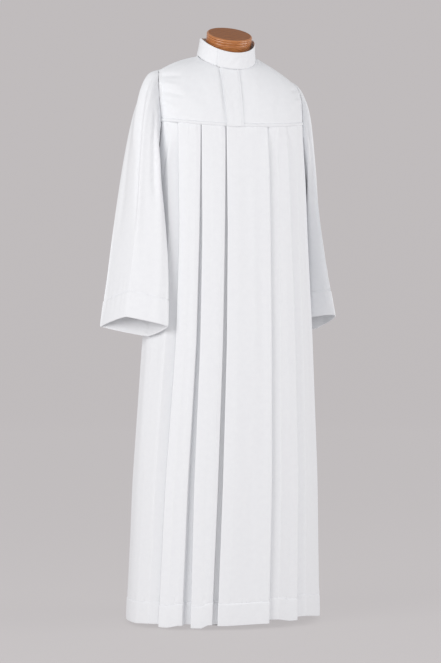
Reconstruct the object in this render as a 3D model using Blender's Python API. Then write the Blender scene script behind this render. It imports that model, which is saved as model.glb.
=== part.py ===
# Pleated alb worn by a limbless dress form on a pole and a round foot.
# Metres, +Z up. The front faces -Y, so the wearer's right side is at -X.
# The origin is the middle of the foot's underside, on the floor.
import math

import bpy
from mathutils import Matrix, Vector

# Cloth: every surface below is the outer face of its cloth, and the wall goes inwards.
CLOTH_WALL = 0.0015
HEM_WALL = 0.0026
SEAM_GAP = 0.0003
LAYER_PITCH = 0.004
FOLD_NOSE = 0.0018

# Heights of the main lines of the cut
SEAM_FRONT_HEIGHT = 1.221
SEAM_SIDE_HEIGHT = 1.237
UNDERARM_HEIGHT = 1.111
SKIRT_HEM_DEPTH = 0.055
SLEEVE_HEM_DEPTH = 0.068
HEM_STEP = 0.0008

# The armhole reaches this far forwards and backwards of the side seam, as angles round the body
ARMHOLE_FRONT_ANGLE = 13.0
ARMHOLE_BACK_ANGLE = 21.0
QUARTER_SPANS = 6
SKIRT_LEVELS = (0.16, 0.33, 0.50, 0.66, 0.80, 0.91, 1.0)

# The skirt is a rounded oval at each height
BODY_SECTIONS = (
    # height, half_width, front_depth, back_depth, shift_x, squareness
    (1.241, 0.186, 0.128, 0.122, 0.002, 0.80),
    (1.111, 0.195, 0.136, 0.132, 0.003, 0.84),
    (0.971, 0.201, 0.143, 0.147, 0.003, 0.88),
    (0.701, 0.214, 0.156, 0.168, 0.003, 0.92),
    (0.351, 0.233, 0.172, 0.190, -0.003, 0.95),
    (0.011, 0.244, 0.186, 0.208, -0.009, 0.95),
)

# How far a pleat stands open, by height: the slot beside its edge and how deep the slot is
PLEAT_OPENING = (
    # height, slot_width, slot_depth
    (1.241, 0.0046, 0.0085),
    (1.111, 0.0065, 0.0110),
    (0.971, 0.0095, 0.0160),
    (0.701, 0.0105, 0.0220),
    (0.351, 0.0120, 0.0280),
    (0.011, 0.0150, 0.0340),
)
PLEAT_UNDERLAY = 0.016

# Pleats in degrees round the body from the front middle, positive to the wearer's left.
# facing -1 has its folded edge on the low-angle side, +1 on the high-angle side.
PLEAT_HEIGHTS = (1.226, 0.971, 0.701, 0.351, 0.011)
FRONT_RIGHT_PLEATS = (
    # facing, angles at PLEAT_HEIGHTS, hem_slot_factor, hem_before, hem_after
    (-1, (-51.9, -48.4, -49.4, -52.7, -54.4), 0.5, 0.0103, 0.0040),
    (-1, (-27.9, -28.3, -29.7, -31.3, -31.4), 1.6, 0.0099, 0.0046),
)
FRONT_LEFT_PLEATS = (
    (1, (15.2, 16.2, 15.7, 15.3, 12.9), 0.6, 0.0121, 0.0200),
    (1, (34.2, 35.8, 36.6, 36.7, 33.6), 0.6, 0.0143, 0.0210),
)
BACK_PLEATS = (
    (-1, (141.0, 142.0, 142.0, 141.0, 140.0), 0.8, 0.0150, 0.0090),
    (-1, (162.0, 162.5, 163.0, 163.5, 164.0), 1.0, 0.0130, 0.0080),
    (1, (198.0, 197.5, 197.0, 196.5, 196.0), 1.0, 0.0080, 0.0130),
    (1, (219.0, 218.0, 218.0, 219.0, 220.0), 0.8, 0.0090, 0.0150),
)
# The closing edge of the wearer's left front, which laps over the right front
LAP_ANGLES = (-8.8, -9.9, -11.5, -13.2, -15.3)
LAP_TURNING = 0.024
LAP_HEM_BEFORE = 0.0124
LAP_HEM_AFTER = 0.0100
SIDE_HEM_HEIGHT = 0.0070
PANEL_SPANS = 3

# Neckline ring and the rings of the stand collar, which slope down to the front
COLLAR_CENTRE_X = -0.005
COLLAR_RINGS = (
    # centre_y, centre_z, radius_x, radius_y, front_slope, back_slope, front_dip
    (-0.008, 1.405, 0.0735, 0.0780, 0.42, 0.15, 0.007),
    (-0.014, 1.426, 0.0700, 0.0745, 0.44, 0.15, 0.007),
    (-0.020, 1.447, 0.0680, 0.0730, 0.46, 0.15, 0.008),
)
NECK_SPANS = 6
SHOULDER_SPANS = 5
COLLAR_SEAT = 0.0007
COLLAR_LAP_START = 6.0
COLLAR_LAP_END = -33.0
COLLAR_LAP_RISE = 0.0022
COLLAR_LAP_EASE = 60.0

# Fly strip over the zip, from its free edge to its stitched edge
ZIP_LINE_X = -0.0185
FLY_FREE_X = -0.0400
FLY_SEWN_X = 0.0030
FLY_LIFT = 0.0021
FLY_TOP_GAP = 0.0026
COLUMN_CLEARANCE = 0.004
YOKE_ROUNDING_MIDDLE = 0.30

# Shoulder end of each armhole, and each sleeve's cuff oval
SLEEVES = (
    # name, side, top_x, top_z, cuff_x, cuff_y, cuff_z, long_half, near_half, far_half, turn, rise, drop, swing
    ("right", -1, 0.174, 1.369, 0.249, -0.036, 0.733, 0.102, 0.050, 0.023, 51.0, 0.024, 0.000, 1.0),
    ("left", 1, 0.164, 1.349, 0.230, 0.066, 0.7405, 0.098, 0.016, 0.056, -60.0, 0.008, 0.022, 0.60),
)
# How far each shoulder line rises above a straight one
SHOULDER_RISE = {-1: 0.005, 1: 0.001}
ARMHOLE_TOP_Y = 0.004
ARMHOLE_BULGE = 0.010
SLEEVE_AROUND = 24
SLEEVE_RINGS = 11
SLEEVE_START = 0.0008
# Direction and reach of each rail as it leaves the armhole and as it reaches the hem line
RAIL_LEAVING = (
    # place, outwards, forwards, down
    ("top", 0.080, 0.000, 0.012),
    ("front", 0.030, 0.050, 0.030),
    ("under", 0.032, 0.012, 0.060),
    ("back", 0.030, -0.034, 0.040),
)
RAIL_ARRIVING = {
    "right": (
        # place, inwards, forwards, up
        ("top", 0.046, -0.010, 0.300),
        ("front", 0.022, -0.020, 0.240),
        ("under", 0.004, -0.024, 0.200),
        ("back", 0.026, 0.004, 0.240),
    ),
    "left": (
        ("top", 0.064, 0.040, 0.300),
        ("front", 0.048, 0.030, 0.260),
        ("under", -0.006, 0.036, 0.200),
        ("back", -0.030, 0.060, 0.260),
    ),
}

# Dress form: rings from the hips up to the sloping top of the neck
FORM_RINGS = (
    # centre_y, centre_z, half_width, half_depth, slope
    (0.000, 0.7510, 0.1450, 0.0980, 0.0),
    (0.000, 0.7570, 0.1500, 0.1030, 0.0),
    (0.000, 0.8310, 0.1550, 0.1080, 0.0),
    (0.000, 0.9110, 0.1500, 0.1040, 0.0),
    (0.000, 1.0110, 0.1340, 0.0920, 0.0),
    (0.000, 1.0910, 0.1360, 0.0940, 0.0),
    (0.000, 1.1910, 0.1520, 0.1030, 0.0),
    (0.000, 1.2610, 0.1580, 0.0950, 0.05),
    (0.000, 1.3110, 0.1550, 0.0800, 0.10),
    (-0.002, 1.3390, 0.1430, 0.0690, 0.14),
    (-0.003, 1.3570, 0.1220, 0.0620, 0.20),
    (-0.004, 1.3710, 0.0960, 0.0580, 0.26),
    (-0.006, 1.3840, 0.0720, 0.0560, 0.32),
    (-0.006, 1.3990, 0.0600, 0.0550, 0.38),
    (-0.0015, 1.4145, 0.0555, 0.0545, 0.4557),
)
FORM_AROUND = 32

# Wooden neck cap, turned on an axis that leans forwards with the neck
CAP_TOP_CENTRE = (0.0, -0.022, 1.461)
CAP_LEAN = 24.5
CAP_PROFILE = (
    # radius, height below the top face
    (0.0530, 0.0000),
    (0.0555, 0.0008),
    (0.0572, 0.0026),
    (0.0570, 0.0050),
    (0.0560, 0.0066),
    (0.0565, 0.0080),
    (0.0566, 0.0120),
    (0.0558, 0.0132),
    (0.0566, 0.0144),
    (0.0560, 0.0360),
    (0.0535, 0.0500),
)
CAP_AROUND = 40

POLE_RADIUS = 0.014
FOOT_PROFILE = (
    # radius, height
    (0.1060, 0.0000),
    (0.1100, 0.0020),
    (0.1100, 0.0060),
    (0.1060, 0.0086),
    (0.0400, 0.0150),
    (0.0230, 0.0200),
    (0.0210, 0.0460),
    (0.0190, 0.0480),
)
ROUND_SEGMENTS = 40

COLOURS = {
    # name: (red, green, blue), roughness, metallic
    "white_poly_cotton": ((0.93, 0.93, 0.94), 0.85, 0.0),
    "form_linen": ((0.72, 0.66, 0.56), 0.80, 0.0),
    "varnished_wood": ((0.42, 0.17, 0.06), 0.25, 0.0),
    "black_painted_steel": ((0.03, 0.03, 0.03), 0.45, 0.6),
}


def clear_scene():
    for thing in list(bpy.data.objects):
        bpy.data.objects.remove(thing, do_unlink=True)


def make_material(name):
    colour, roughness, metallic = COLOURS[name]
    material = bpy.data.materials.new(name)
    material.use_nodes = True
    shader = material.node_tree.nodes["Principled BSDF"]
    shader.inputs["Base Color"].default_value = (*colour, 1.0)
    shader.inputs["Roughness"].default_value = roughness
    shader.inputs["Metallic"].default_value = metallic
    return material


def read_table(rows, height, column):
    # Straight-line reading between the rows of a table whose first column falls
    if height >= rows[0][0]:
        return rows[0][column]
    for upper, lower in zip(rows, rows[1:]):
        if height >= lower[0]:
            share = (height - lower[0]) / (upper[0] - lower[0])
            return lower[column] + share * (upper[column] - lower[column])
    return rows[-1][column]


def read_angles(angles, height):
    rows = tuple(zip(PLEAT_HEIGHTS, angles))
    return read_table(rows, height, 1)


def signed_power(value, power):
    return math.copysign(abs(value) ** power, value)


def body_point(angle, height):
    # Outer face of the cloth at an angle in degrees round the body
    half_width, front, back, shift, square = [read_table(BODY_SECTIONS, height, c) for c in range(1, 6)]
    sine = math.sin(math.radians(angle))
    cosine = math.cos(math.radians(angle))
    depth = front if cosine > 0 else back
    x = shift + half_width * signed_power(sine, square)
    y = -depth * signed_power(cosine, square)
    return Vector((x, y))


def body_frame(angle, height):
    # Point, outward direction and metres for each degree
    step = 0.5
    before = body_point(angle - step, height)
    after = body_point(angle + step, height)
    along = after - before
    outward = Vector((along.y, -along.x)).normalized()
    return body_point(angle, height), outward, along.length / (2 * step)


def side_offset(angle):
    # Degrees from the nearer side seam, positive towards the front
    turned = (angle + 180.0) % 360.0 - 180.0
    return 90.0 - abs(turned)


def seam_height(angle):
    rise = math.sin(math.radians(angle)) ** 2
    return SEAM_FRONT_HEIGHT + (SEAM_SIDE_HEIGHT - SEAM_FRONT_HEIGHT) * rise


def armhole_corner_height(reach):
    return seam_height(90.0 - reach)


def skirt_top(angle):
    # The skirt ends at the yoke seam, and beside the arm at the lower half of the armhole
    offset = side_offset(angle)
    reach = ARMHOLE_FRONT_ANGLE if offset > 0 else ARMHOLE_BACK_ANGLE
    share = abs(offset) / reach
    if share >= 1.0:
        return seam_height(angle)
    corner = armhole_corner_height(reach)
    return corner - (corner - UNDERARM_HEIGHT) * math.sqrt(1.0 - share * share)


# ---------------------------------------------------------------- walls
def make_object(name, points, faces, material, smooth=True):
    mesh = bpy.data.meshes.new(name)
    mesh.from_pydata([tuple(p) for p in points], [], faces)
    mesh.validate()
    if smooth:
        mesh.shade_smooth()
        mesh.set_sharp_from_angle(angle=math.radians(40))
    mesh.materials.append(material)
    thing = bpy.data.objects.new(name, mesh)
    bpy.context.scene.collection.objects.link(thing)
    return thing


def split_cell(grid, row, column):
    # Two triangles across the diagonal that stands further out, so the cloth stays rounded
    beside = (column + 1) % len(grid[0])
    low_near, low_far = grid[row][column], grid[row][beside]
    high_near, high_far = grid[row + 1][column], grid[row + 1][beside]
    facing = (high_far - low_near).cross(high_near - low_far)
    cell = ((row, column), (row, column + 1), (row + 1, column + 1), (row + 1, column))
    if (low_near + high_far - low_far - high_near).dot(facing) >= 0:
        return (cell[0], cell[1], cell[2]), (cell[0], cell[2], cell[3])
    return (cell[0], cell[1], cell[3]), (cell[1], cell[2], cell[3])


def close_wall(name, outer, inner, material, ring=False):
    # outer and inner are grids [row][column]; rows run up or along, columns go round
    rows = len(outer)
    columns = len(outer[0])
    points = [p for grid in (outer, inner) for row in grid for p in row]
    base = rows * columns

    def at(row, column, layer):
        return layer * base + row * columns + column % columns

    faces = []
    spans = columns if ring else columns - 1
    for row in range(rows - 1):
        for column in range(spans):
            for corners in split_cell(outer, row, column):
                faces.append([at(r, c, 0) for r, c in corners])
                faces.append([at(r, c, 1) for r, c in reversed(corners)])
    for column in range(spans):
        faces.append([at(0, column + 1, 0), at(0, column, 0), at(0, column, 1), at(0, column + 1, 1)])
        top = rows - 1
        faces.append([at(top, column, 0), at(top, column + 1, 0),
                      at(top, column + 1, 1), at(top, column, 1)])
    if not ring:
        end = columns - 1
        for row in range(rows - 1):
            faces.append([at(row, 0, 0), at(row + 1, 0, 0), at(row + 1, 0, 1), at(row, 0, 1)])
            faces.append([at(row + 1, end, 0), at(row, end, 0), at(row, end, 1), at(row + 1, end, 1)])
    return make_object(name, points, faces, material)


def grid_normals(grid, ring):
    rows = len(grid)
    columns = len(grid[0])
    normals = []
    for row in range(rows):
        line = []
        for column in range(columns):
            if ring:
                before, after = (column - 1) % columns, (column + 1) % columns
            else:
                before, after = max(column - 1, 0), min(column + 1, columns - 1)
            across = grid[row][after] - grid[row][before]
            upwards = grid[min(row + 1, rows - 1)][column] - grid[max(row - 1, 0)][column]
            line.append(across.cross(upwards).normalized())
        normals.append(line)
    return normals


def ribbon_sides(path, wall):
    # Both faces of a folded ribbon in plan, mitred at its corners; path runs with the outside on its right
    right_side = []
    left_side = []
    for index, point in enumerate(path):
        directions = []
        if index > 0:
            directions.append((point - path[index - 1]).normalized())
        if index < len(path) - 1:
            directions.append((path[index + 1] - point).normalized())
        normals = [Vector((d.y, -d.x)) for d in directions]
        if len(normals) == 2:
            middle = (normals[0] + normals[1]).normalized()
            stretch = 1.0 / max(middle.dot(normals[0]), 0.55)
        else:
            middle = normals[0]
            stretch = 1.0
        right_side.append(point + middle * (wall / 2 * stretch))
        left_side.append(point - middle * (wall / 2 * stretch))
    return right_side, left_side


# ---------------------------------------------------------------- skirt
def pleat_stop(pleat, height):
    # Points of one pleat as (angle, depth, hem height), in rising angle
    facing, angles, hem_factor, hem_before, hem_after = pleat
    edge = read_angles(angles, height)
    slot = read_table(PLEAT_OPENING, height, 1)
    depth = read_table(PLEAT_OPENING, height, 2)
    near_hem = max(0.0, 1.0 - height / PLEAT_HEIGHTS[2])
    slot *= 1.0 + (hem_factor - 1.0) * near_hem
    metres = body_frame(edge, height)[2]
    hem_panel = hem_before if facing < 0 else hem_after
    hem_edge = hem_after if facing < 0 else hem_before
    hem_floor = max(hem_before, hem_after) + 0.002
    shape = (
        (-slot - 0.006, 0.0004, hem_panel),
        (-slot, 0.0030, hem_panel),
        (-slot * 0.6, depth, hem_floor),
        (PLEAT_UNDERLAY, depth, hem_floor),
        (PLEAT_UNDERLAY, depth - LAYER_PITCH, hem_edge),
        (0.0006, LAYER_PITCH, hem_edge),
        (-FOLD_NOSE * 0.5, LAYER_PITCH / 2, hem_edge),
        (0.0006, 0.0, hem_edge),
    )
    if facing < 0:
        return [(edge + s / metres, d, h) for s, d, h in shape]
    return [(edge - s / metres, d, h) for s, d, h in reversed(shape)]


def lap_edge(height):
    # The left front's closing edge: a turned-back hem behind a folded edge
    edge = read_angles(LAP_ANGLES, height)
    metres = body_frame(edge, height)[2]
    shape = ((LAP_TURNING, LAYER_PITCH), (0.0006, LAYER_PITCH), (-FOLD_NOSE * 0.5, LAYER_PITCH / 2), (0.0006, 0.0))
    return [(edge + s / metres, d, LAP_HEM_AFTER) for s, d in shape]


def under_lap(height):
    # The right front's end, which lies behind the left front's closing edge
    edge = read_angles(LAP_ANGLES, height)
    metres = body_frame(edge, height)[2]
    slot = read_table(PLEAT_OPENING, height, 1)
    depth = 2 * LAYER_PITCH
    shape = ((-slot - 0.006, 0.0004), (-slot, 0.0020), (-slot * 0.5, depth), (LAP_TURNING * 1.1, depth + 0.0005))
    return [(edge + s / metres, d, LAP_HEM_BEFORE) for s, d in shape]


def side_stop(side_angle, towards):
    # Columns of the armhole's lower quarter, from its corner to the side seam or back
    reach = ARMHOLE_FRONT_ANGLE if side_offset(side_angle + towards) > 0 else ARMHOLE_BACK_ANGLE
    columns = []
    for index in range(QUARTER_SPANS + 1):
        share = math.sin(math.radians(90.0 * index / QUARTER_SPANS))
        columns.append((side_angle + towards * reach * share, 0.0, SIDE_HEM_HEIGHT))
    return columns if towards > 0 else columns[::-1]


def skirt_profile(stops, height):
    columns = []
    for stop in stops:
        points = stop(height)
        if columns:
            start = columns[-1]
            for index in range(1, PANEL_SPANS):
                share = index / PANEL_SPANS
                columns.append(tuple(a + (b - a) * share for a, b in zip(start, points[0])))
        columns.extend(points)
    return columns


def skirt_panel(name, stops, material):
    # Every row reads the profile at its own height, so the folds widen towards the hem
    flat = skirt_profile(stops, SEAM_FRONT_HEIGHT)
    hems = [hem for _, _, hem in flat]
    tops = [skirt_top(angle) - SEAM_GAP / 2 for angle, _, _ in flat]
    levels = [(0.0, HEM_WALL), (SKIRT_HEM_DEPTH - HEM_STEP, HEM_WALL), (SKIRT_HEM_DEPTH, CLOTH_WALL)]
    rows = [[(hem + rise, wall) for hem in hems] for rise, wall in levels]
    for level in SKIRT_LEVELS:
        row = []
        for hem, top in zip(hems, tops):
            base = hem + SKIRT_HEM_DEPTH
            row.append((base + (top - base) * level, CLOTH_WALL))
        rows.append(row)
    outer = []
    inner = []
    for row in rows:
        heights = [height for height, _ in row]
        wall = row[0][1]
        path = []
        for index, height in enumerate(heights):
            angle, depth, _ = skirt_profile(stops, height)[index]
            spot, outward, metres = body_frame(angle, height)
            if index in (0, len(heights) - 1) and abs(side_offset(angle)) < 0.01:
                pull = SEAM_GAP / 2 if index == 0 else -SEAM_GAP / 2
                spot = body_point(angle + pull / metres, height)
            path.append(spot - outward * (depth + CLOTH_WALL / 2))
        right, left = ribbon_sides(path, wall)
        outer.append([Vector((p.x, p.y, z)) for p, z in zip(right, heights)])
        inner.append([Vector((p.x, p.y, z)) for p, z in zip(left, heights)])
    return close_wall(name, outer, inner, material)


def make_skirts(cloth):
    def pleat(row):
        return lambda height: pleat_stop(row, height)

    def side(angle, towards):
        return lambda height: side_stop(angle, towards)

    front_right = [side(-90.0, 1), *map(pleat, FRONT_RIGHT_PLEATS), under_lap]
    front_left = [lap_edge, *map(pleat, FRONT_LEFT_PLEATS), side(90.0, -1)]
    back = [side(90.0, 1), *map(pleat, BACK_PLEATS), side(270.0, -1)]
    skirt_panel("front_skirt_right", front_right, cloth)
    skirt_panel("front_skirt_left", front_left, cloth)
    skirt_panel("back_skirt", back, cloth)


# ---------------------------------------------------------------- neckline, yokes and collar
def collar_point(angle, ring):
    centre_y, centre_z, radius_x, radius_y, front_slope, back_slope, dip = ring
    sine = math.sin(math.radians(angle))
    cosine = math.cos(math.radians(angle))
    slope = front_slope if cosine > 0 else back_slope
    x = COLLAR_CENTRE_X + radius_x * sine
    y = centre_y - radius_y * cosine
    z = centre_z - radius_y * cosine * slope - dip * max(cosine, 0.0) ** 2
    return Vector((x, y, z))


def shoulder_end(side):
    row = next(sleeve for sleeve in SLEEVES if sleeve[1] == side)
    return Vector((side * row[2], ARMHOLE_TOP_Y, row[3]))


def armhole_point(side, turn):
    # turn 0 is the shoulder, 90 the front, 180 the underarm and 270 the back
    sine = math.sin(math.radians(turn))
    cosine = math.cos(math.radians(turn))
    reach = ARMHOLE_FRONT_ANGLE if sine >= 0 else ARMHOLE_BACK_ANGLE
    corner_angle = side * (90.0 - reach) if sine >= 0 else side * (90.0 + reach)
    corner_height = armhole_corner_height(reach)
    if cosine >= 0:
        corner = body_point(corner_angle, corner_height)
        top = shoulder_end(side)
        share = abs(sine)
        x = top.x + (corner.x - top.x) * share + side * ARMHOLE_BULGE * share * cosine
        y = top.y + (corner.y - top.y) * share
        return Vector((x, y, corner_height + (top.z - corner_height) * cosine))
    height = corner_height + (corner_height - UNDERARM_HEIGHT) * cosine
    angle = side * (90.0 - math.copysign(reach, sine) * abs(sine))
    spot = body_point(angle, height)
    return Vector((spot.x, spot.y, height))


def yoke_column(top, bottom, rounding):
    # From the neckline or shoulder down to the yoke seam, part straight and part rounded
    column = []
    for index in range(QUARTER_SPANS + 1):
        turn = math.radians(90.0 * index / QUARTER_SPANS)
        share = index / QUARTER_SPANS
        sine = math.sin(turn)
        round_point = Vector((top.x + (bottom.x - top.x) * sine,
                              top.y + (bottom.y - top.y) * sine,
                              bottom.z + (top.z - bottom.z) * math.cos(turn)))
        straight = top.lerp(bottom, share)
        column.append(straight.lerp(round_point, rounding))
    return column


def yoke_columns(side, front):
    # Columns from the middle of the front or back to the armhole
    neck = COLLAR_RINGS[0]
    shoulder_neck = collar_point(side * 90.0, neck)
    top_edge = []
    for index in range(NECK_SPANS + 1):
        around = 90.0 * index / NECK_SPANS
        angle = around if front else 180.0 - around
        top_edge.append(collar_point(side * angle, neck))
    armhole_top = shoulder_end(side)
    for index in range(1, SHOULDER_SPANS + 1):
        share = index / SHOULDER_SPANS
        spot = shoulder_neck.lerp(armhole_top, share)
        spot.z += SHOULDER_RISE[side] * math.sin(math.pi * share)
        top_edge.append(spot)
    reach = ARMHOLE_FRONT_ANGLE if front else ARMHOLE_BACK_ANGLE
    columns = []
    last = len(top_edge) - 1
    for index, top in enumerate(top_edge):
        share = index / last
        swing = (90.0 - reach) * share
        angle = side * swing if front else 180.0 - side * swing
        height = seam_height(angle)
        spot = body_point(angle, height)
        bottom = Vector((spot.x, spot.y, height))
        rounding = YOKE_ROUNDING_MIDDLE + (1.0 - YOKE_ROUNDING_MIDDLE) * share
        columns.append(yoke_column(top, bottom, rounding))
    quarter = [90.0 * i / QUARTER_SPANS for i in range(QUARTER_SPANS + 1)]
    columns[-1] = [armhole_point(side, turn if front else 360.0 - turn) for turn in quarter]
    return columns


def with_line_at(columns, x):
    # The same columns with one more at a given X, and none right beside it
    line = []
    for row in range(len(columns[0])):
        for near, far in zip(columns, columns[1:]):
            if near[row].x <= x < far[row].x:
                share = (x - near[row].x) / (far[row].x - near[row].x)
                line.append(near[row].lerp(far[row], share))
                break
    clear = [c for c in columns if min(abs(p.x - x) for p in c) > COLUMN_CLEARANCE]
    before = [c for c in clear if c[-1].x < x]
    return before + [line] + clear[len(before):], len(before)


def yoke_grid(columns):
    # Rows that rise from the yoke seam, and the outward normals that every yoke piece shares
    rows = len(columns[0])
    grid = [[column[rows - 1 - row].copy() for column in columns] for row in range(rows)]
    normals = grid_normals(grid, ring=False)
    for column in range(len(columns)):
        normals[0][column].z = 0.0
        normals[0][column].normalize()
        if abs(grid[-1][column].x - COLLAR_CENTRE_X) > COLLAR_RINGS[0][2] - HEM_STEP:
            normals[-1][column].y = 0.0
            normals[-1][column].normalize()
    return grid, normals


def yoke_piece(name, grid, normals, span, material, gaps, lift=0.0):
    # Gaps are metres at the wearer's right or first edge, the last edge, the top and the bottom
    first, last = span
    piece = [[p.copy() for p in row[first:last + 1]] for row in grid]
    facing = [row[first:last + 1] for row in normals]
    first_gap, last_gap, top_gap, bottom_gap = gaps
    for column in range(len(piece[0])):
        piece[0][column].z += bottom_gap
        down = (piece[-2][column] - piece[-1][column]).normalized()
        piece[-1][column] += down * top_gap
    for row in piece:
        row[0] += (row[1] - row[0]).normalized() * first_gap
        row[-1] += (row[-2] - row[-1]).normalized() * last_gap
    outer = [[p + n * lift for p, n in zip(*lines)] for lines in zip(piece, facing)]
    inner = [[p + n * (lift - CLOTH_WALL) for p, n in zip(*lines)] for lines in zip(piece, facing)]
    close_wall(name, outer, inner, material)


def make_yokes(cloth):
    edge = SEAM_GAP / 2
    columns = yoke_columns(-1, front=True)[::-1] + yoke_columns(1, front=True)[1:]
    columns, free_line = with_line_at(columns, FLY_FREE_X)
    columns, zip_line = with_line_at(columns, ZIP_LINE_X)
    columns, sewn_line = with_line_at(columns, FLY_SEWN_X)
    grid, normals = yoke_grid(columns)
    end = len(columns) - 1
    yoke_piece("front_yoke_right", grid, normals, (0, zip_line), cloth, (edge, SEAM_GAP, edge, edge))
    yoke_piece("front_yoke_left", grid, normals, (zip_line, end), cloth, (SEAM_GAP, edge, edge, edge))
    fly_gaps = (0.0, 0.0, FLY_TOP_GAP, edge)
    yoke_piece("fly_strip", grid, normals, (free_line, sewn_line), cloth, fly_gaps, lift=FLY_LIFT)
    back = yoke_columns(1, front=False)[::-1] + yoke_columns(-1, front=False)[1:]
    grid, normals = yoke_grid(back)
    yoke_piece("back_yoke", grid, normals, (0, len(back) - 1), cloth, (edge, edge, edge, edge))


def make_collar(cloth):
    # One band that starts under the lap, goes round the back and ends over its own start
    sweep = 360.0 + COLLAR_LAP_START - COLLAR_LAP_END
    steps = 4 * NECK_SPANS + 4
    rows = []
    for number, ring in enumerate(COLLAR_RINGS):
        row = []
        for index in range(steps + 1):
            travelled = sweep * index / steps
            angle = COLLAR_LAP_START - travelled
            lap_left = sweep - travelled
            lap_zone = COLLAR_LAP_START - COLLAR_LAP_END + 4.0
            ease = min(max((lap_zone + COLLAR_LAP_EASE - lap_left) / COLLAR_LAP_EASE, 0.0), 1.0)
            spot = collar_point(angle, ring)
            middle = Vector((COLLAR_CENTRE_X, ring[0], spot.z))
            spot += (spot - middle).normalized() * COLLAR_LAP_RISE * ease
            spot.z += COLLAR_SEAT if number == 0 else 0.0
            row.append(spot)
        rows.append(row[::-1])
    normals = grid_normals(rows, ring=False)
    for line in normals:
        for normal in line:
            normal.z = 0.0
            normal.normalize()
    wall = HEM_WALL * 0.7
    inner = [[p - n * wall for p, n in zip(*lines)] for lines in zip(rows, normals)]
    close_wall("collar", rows, inner, cloth)


# ---------------------------------------------------------------- sleeves
def around(rows, column, turn):
    # A smooth reading between the values at the top, front, underarm and back
    top, front, under, back = [row[column] for row in rows]
    mean = (top + front + under + back) / 4
    twice = (top + under - front - back) / 4
    angle = math.radians(turn)
    first = (top - under) / 2 * math.cos(angle) + (front - back) / 2 * math.sin(angle)
    return mean + first + twice * math.cos(2 * angle)


def cuff_point(sleeve, turn):
    _, side, _, _, x, y, z, long_half, near_half, far_half, yaw, rise, drop, _ = sleeve
    swing = math.radians(turn + yaw)
    along = Vector((math.cos(math.radians(yaw)), -math.sin(math.radians(yaw))))
    outwards = Vector((-math.sin(math.radians(yaw)), -math.cos(math.radians(yaw))))
    short_half = near_half if math.sin(swing) > 0 else far_half
    spot = Vector((-x, y)) - along * long_half * math.cos(swing) + outwards * short_half * math.sin(swing)
    height = z + rise * math.sin(swing) + drop * math.cos(swing)
    return Vector((-side * spot.x, spot.y, height))


def bezier(points, share):
    start, leave, arrive, end = points
    rest = 1.0 - share
    return (start * rest ** 3 + leave * (3 * rest ** 2 * share)
            + arrive * (3 * rest * share ** 2) + end * share ** 3)


def sleeve_rail(sleeve, turn):
    name, side, swing_out = sleeve[0], sleeve[1], sleeve[-1]
    start = armhole_point(side, turn)
    out, forward, down = [around(RAIL_LEAVING, c, turn) for c in (1, 2, 3)]
    inwards, ahead, up = [around(RAIL_ARRIVING[name], c, turn) for c in (1, 2, 3)]
    rising = Vector((-side * inwards, -ahead, up))
    cuff = cuff_point(sleeve, turn)
    hem_line = cuff + rising.normalized() * SLEEVE_HEM_DEPTH
    leaving = Vector((side * out * swing_out, -forward * swing_out, -down))
    points = (start, start + leaving, hem_line + rising, hem_line)
    rail = []
    for index in range(SLEEVE_RINGS):
        share = index / (SLEEVE_RINGS - 1)
        rail.append((bezier(points, share ** 1.15), CLOTH_WALL))
    first_step = (rail[1][0] - rail[0][0]).normalized()
    rail[0] = (rail[0][0] + first_step * SLEEVE_START, CLOTH_WALL)
    step = (cuff - hem_line).normalized() * HEM_STEP
    rail.append((hem_line + step, HEM_WALL))
    rail.append((cuff, HEM_WALL))
    return rail


def make_sleeve(sleeve, cloth):
    side = sleeve[1]
    turns = [360.0 * i / SLEEVE_AROUND for i in range(SLEEVE_AROUND)]
    rails = [sleeve_rail(sleeve, turn) for turn in turns]
    if side < 0:
        rails = rails[::-1]
    rings = [[rail[row][0] for rail in rails] for row in range(len(rails[0]))]
    walls = [rails[0][row][1] for row in range(len(rails[0]))]
    normals = grid_normals(rings, ring=True)
    middle = sum(rings[5], Vector()) / len(rings[5])
    if (rings[5][0] - middle).dot(normals[5][0]) < 0:
        rings = [ring[::-1] for ring in rings]
        normals = grid_normals(rings, ring=True)
    inner = [[p - n * wall for p, n in zip(ring, line)]
             for ring, line, wall in zip(rings, normals, walls)]
    close_wall("sleeve_" + sleeve[0], rings, inner, cloth, ring=True)


# ---------------------------------------------------------------- dress form and stand
def stack_rings(name, rings, material, matrix=Matrix.Identity(4)):
    # A closed solid from rings that run upwards, each turning from the front to the wearer's left
    count = len(rings[0])
    points = [matrix @ p for ring in rings for p in ring]
    faces = []
    for row in range(len(rings) - 1):
        for column in range(count):
            beside = (column + 1) % count
            faces.append([row * count + column, row * count + beside,
                          (row + 1) * count + beside, (row + 1) * count + column])
    faces.append(list(range(count))[::-1])
    faces.append([(len(rings) - 1) * count + column for column in range(count)])
    return make_object(name, points, faces, material)


def turned_rings(profile, segments):
    rings = []
    for radius, height in profile:
        ring = []
        for index in range(segments):
            angle = 2 * math.pi * index / segments
            ring.append(Vector((radius * math.sin(angle), -radius * math.cos(angle), height)))
        rings.append(ring)
    return rings


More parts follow.
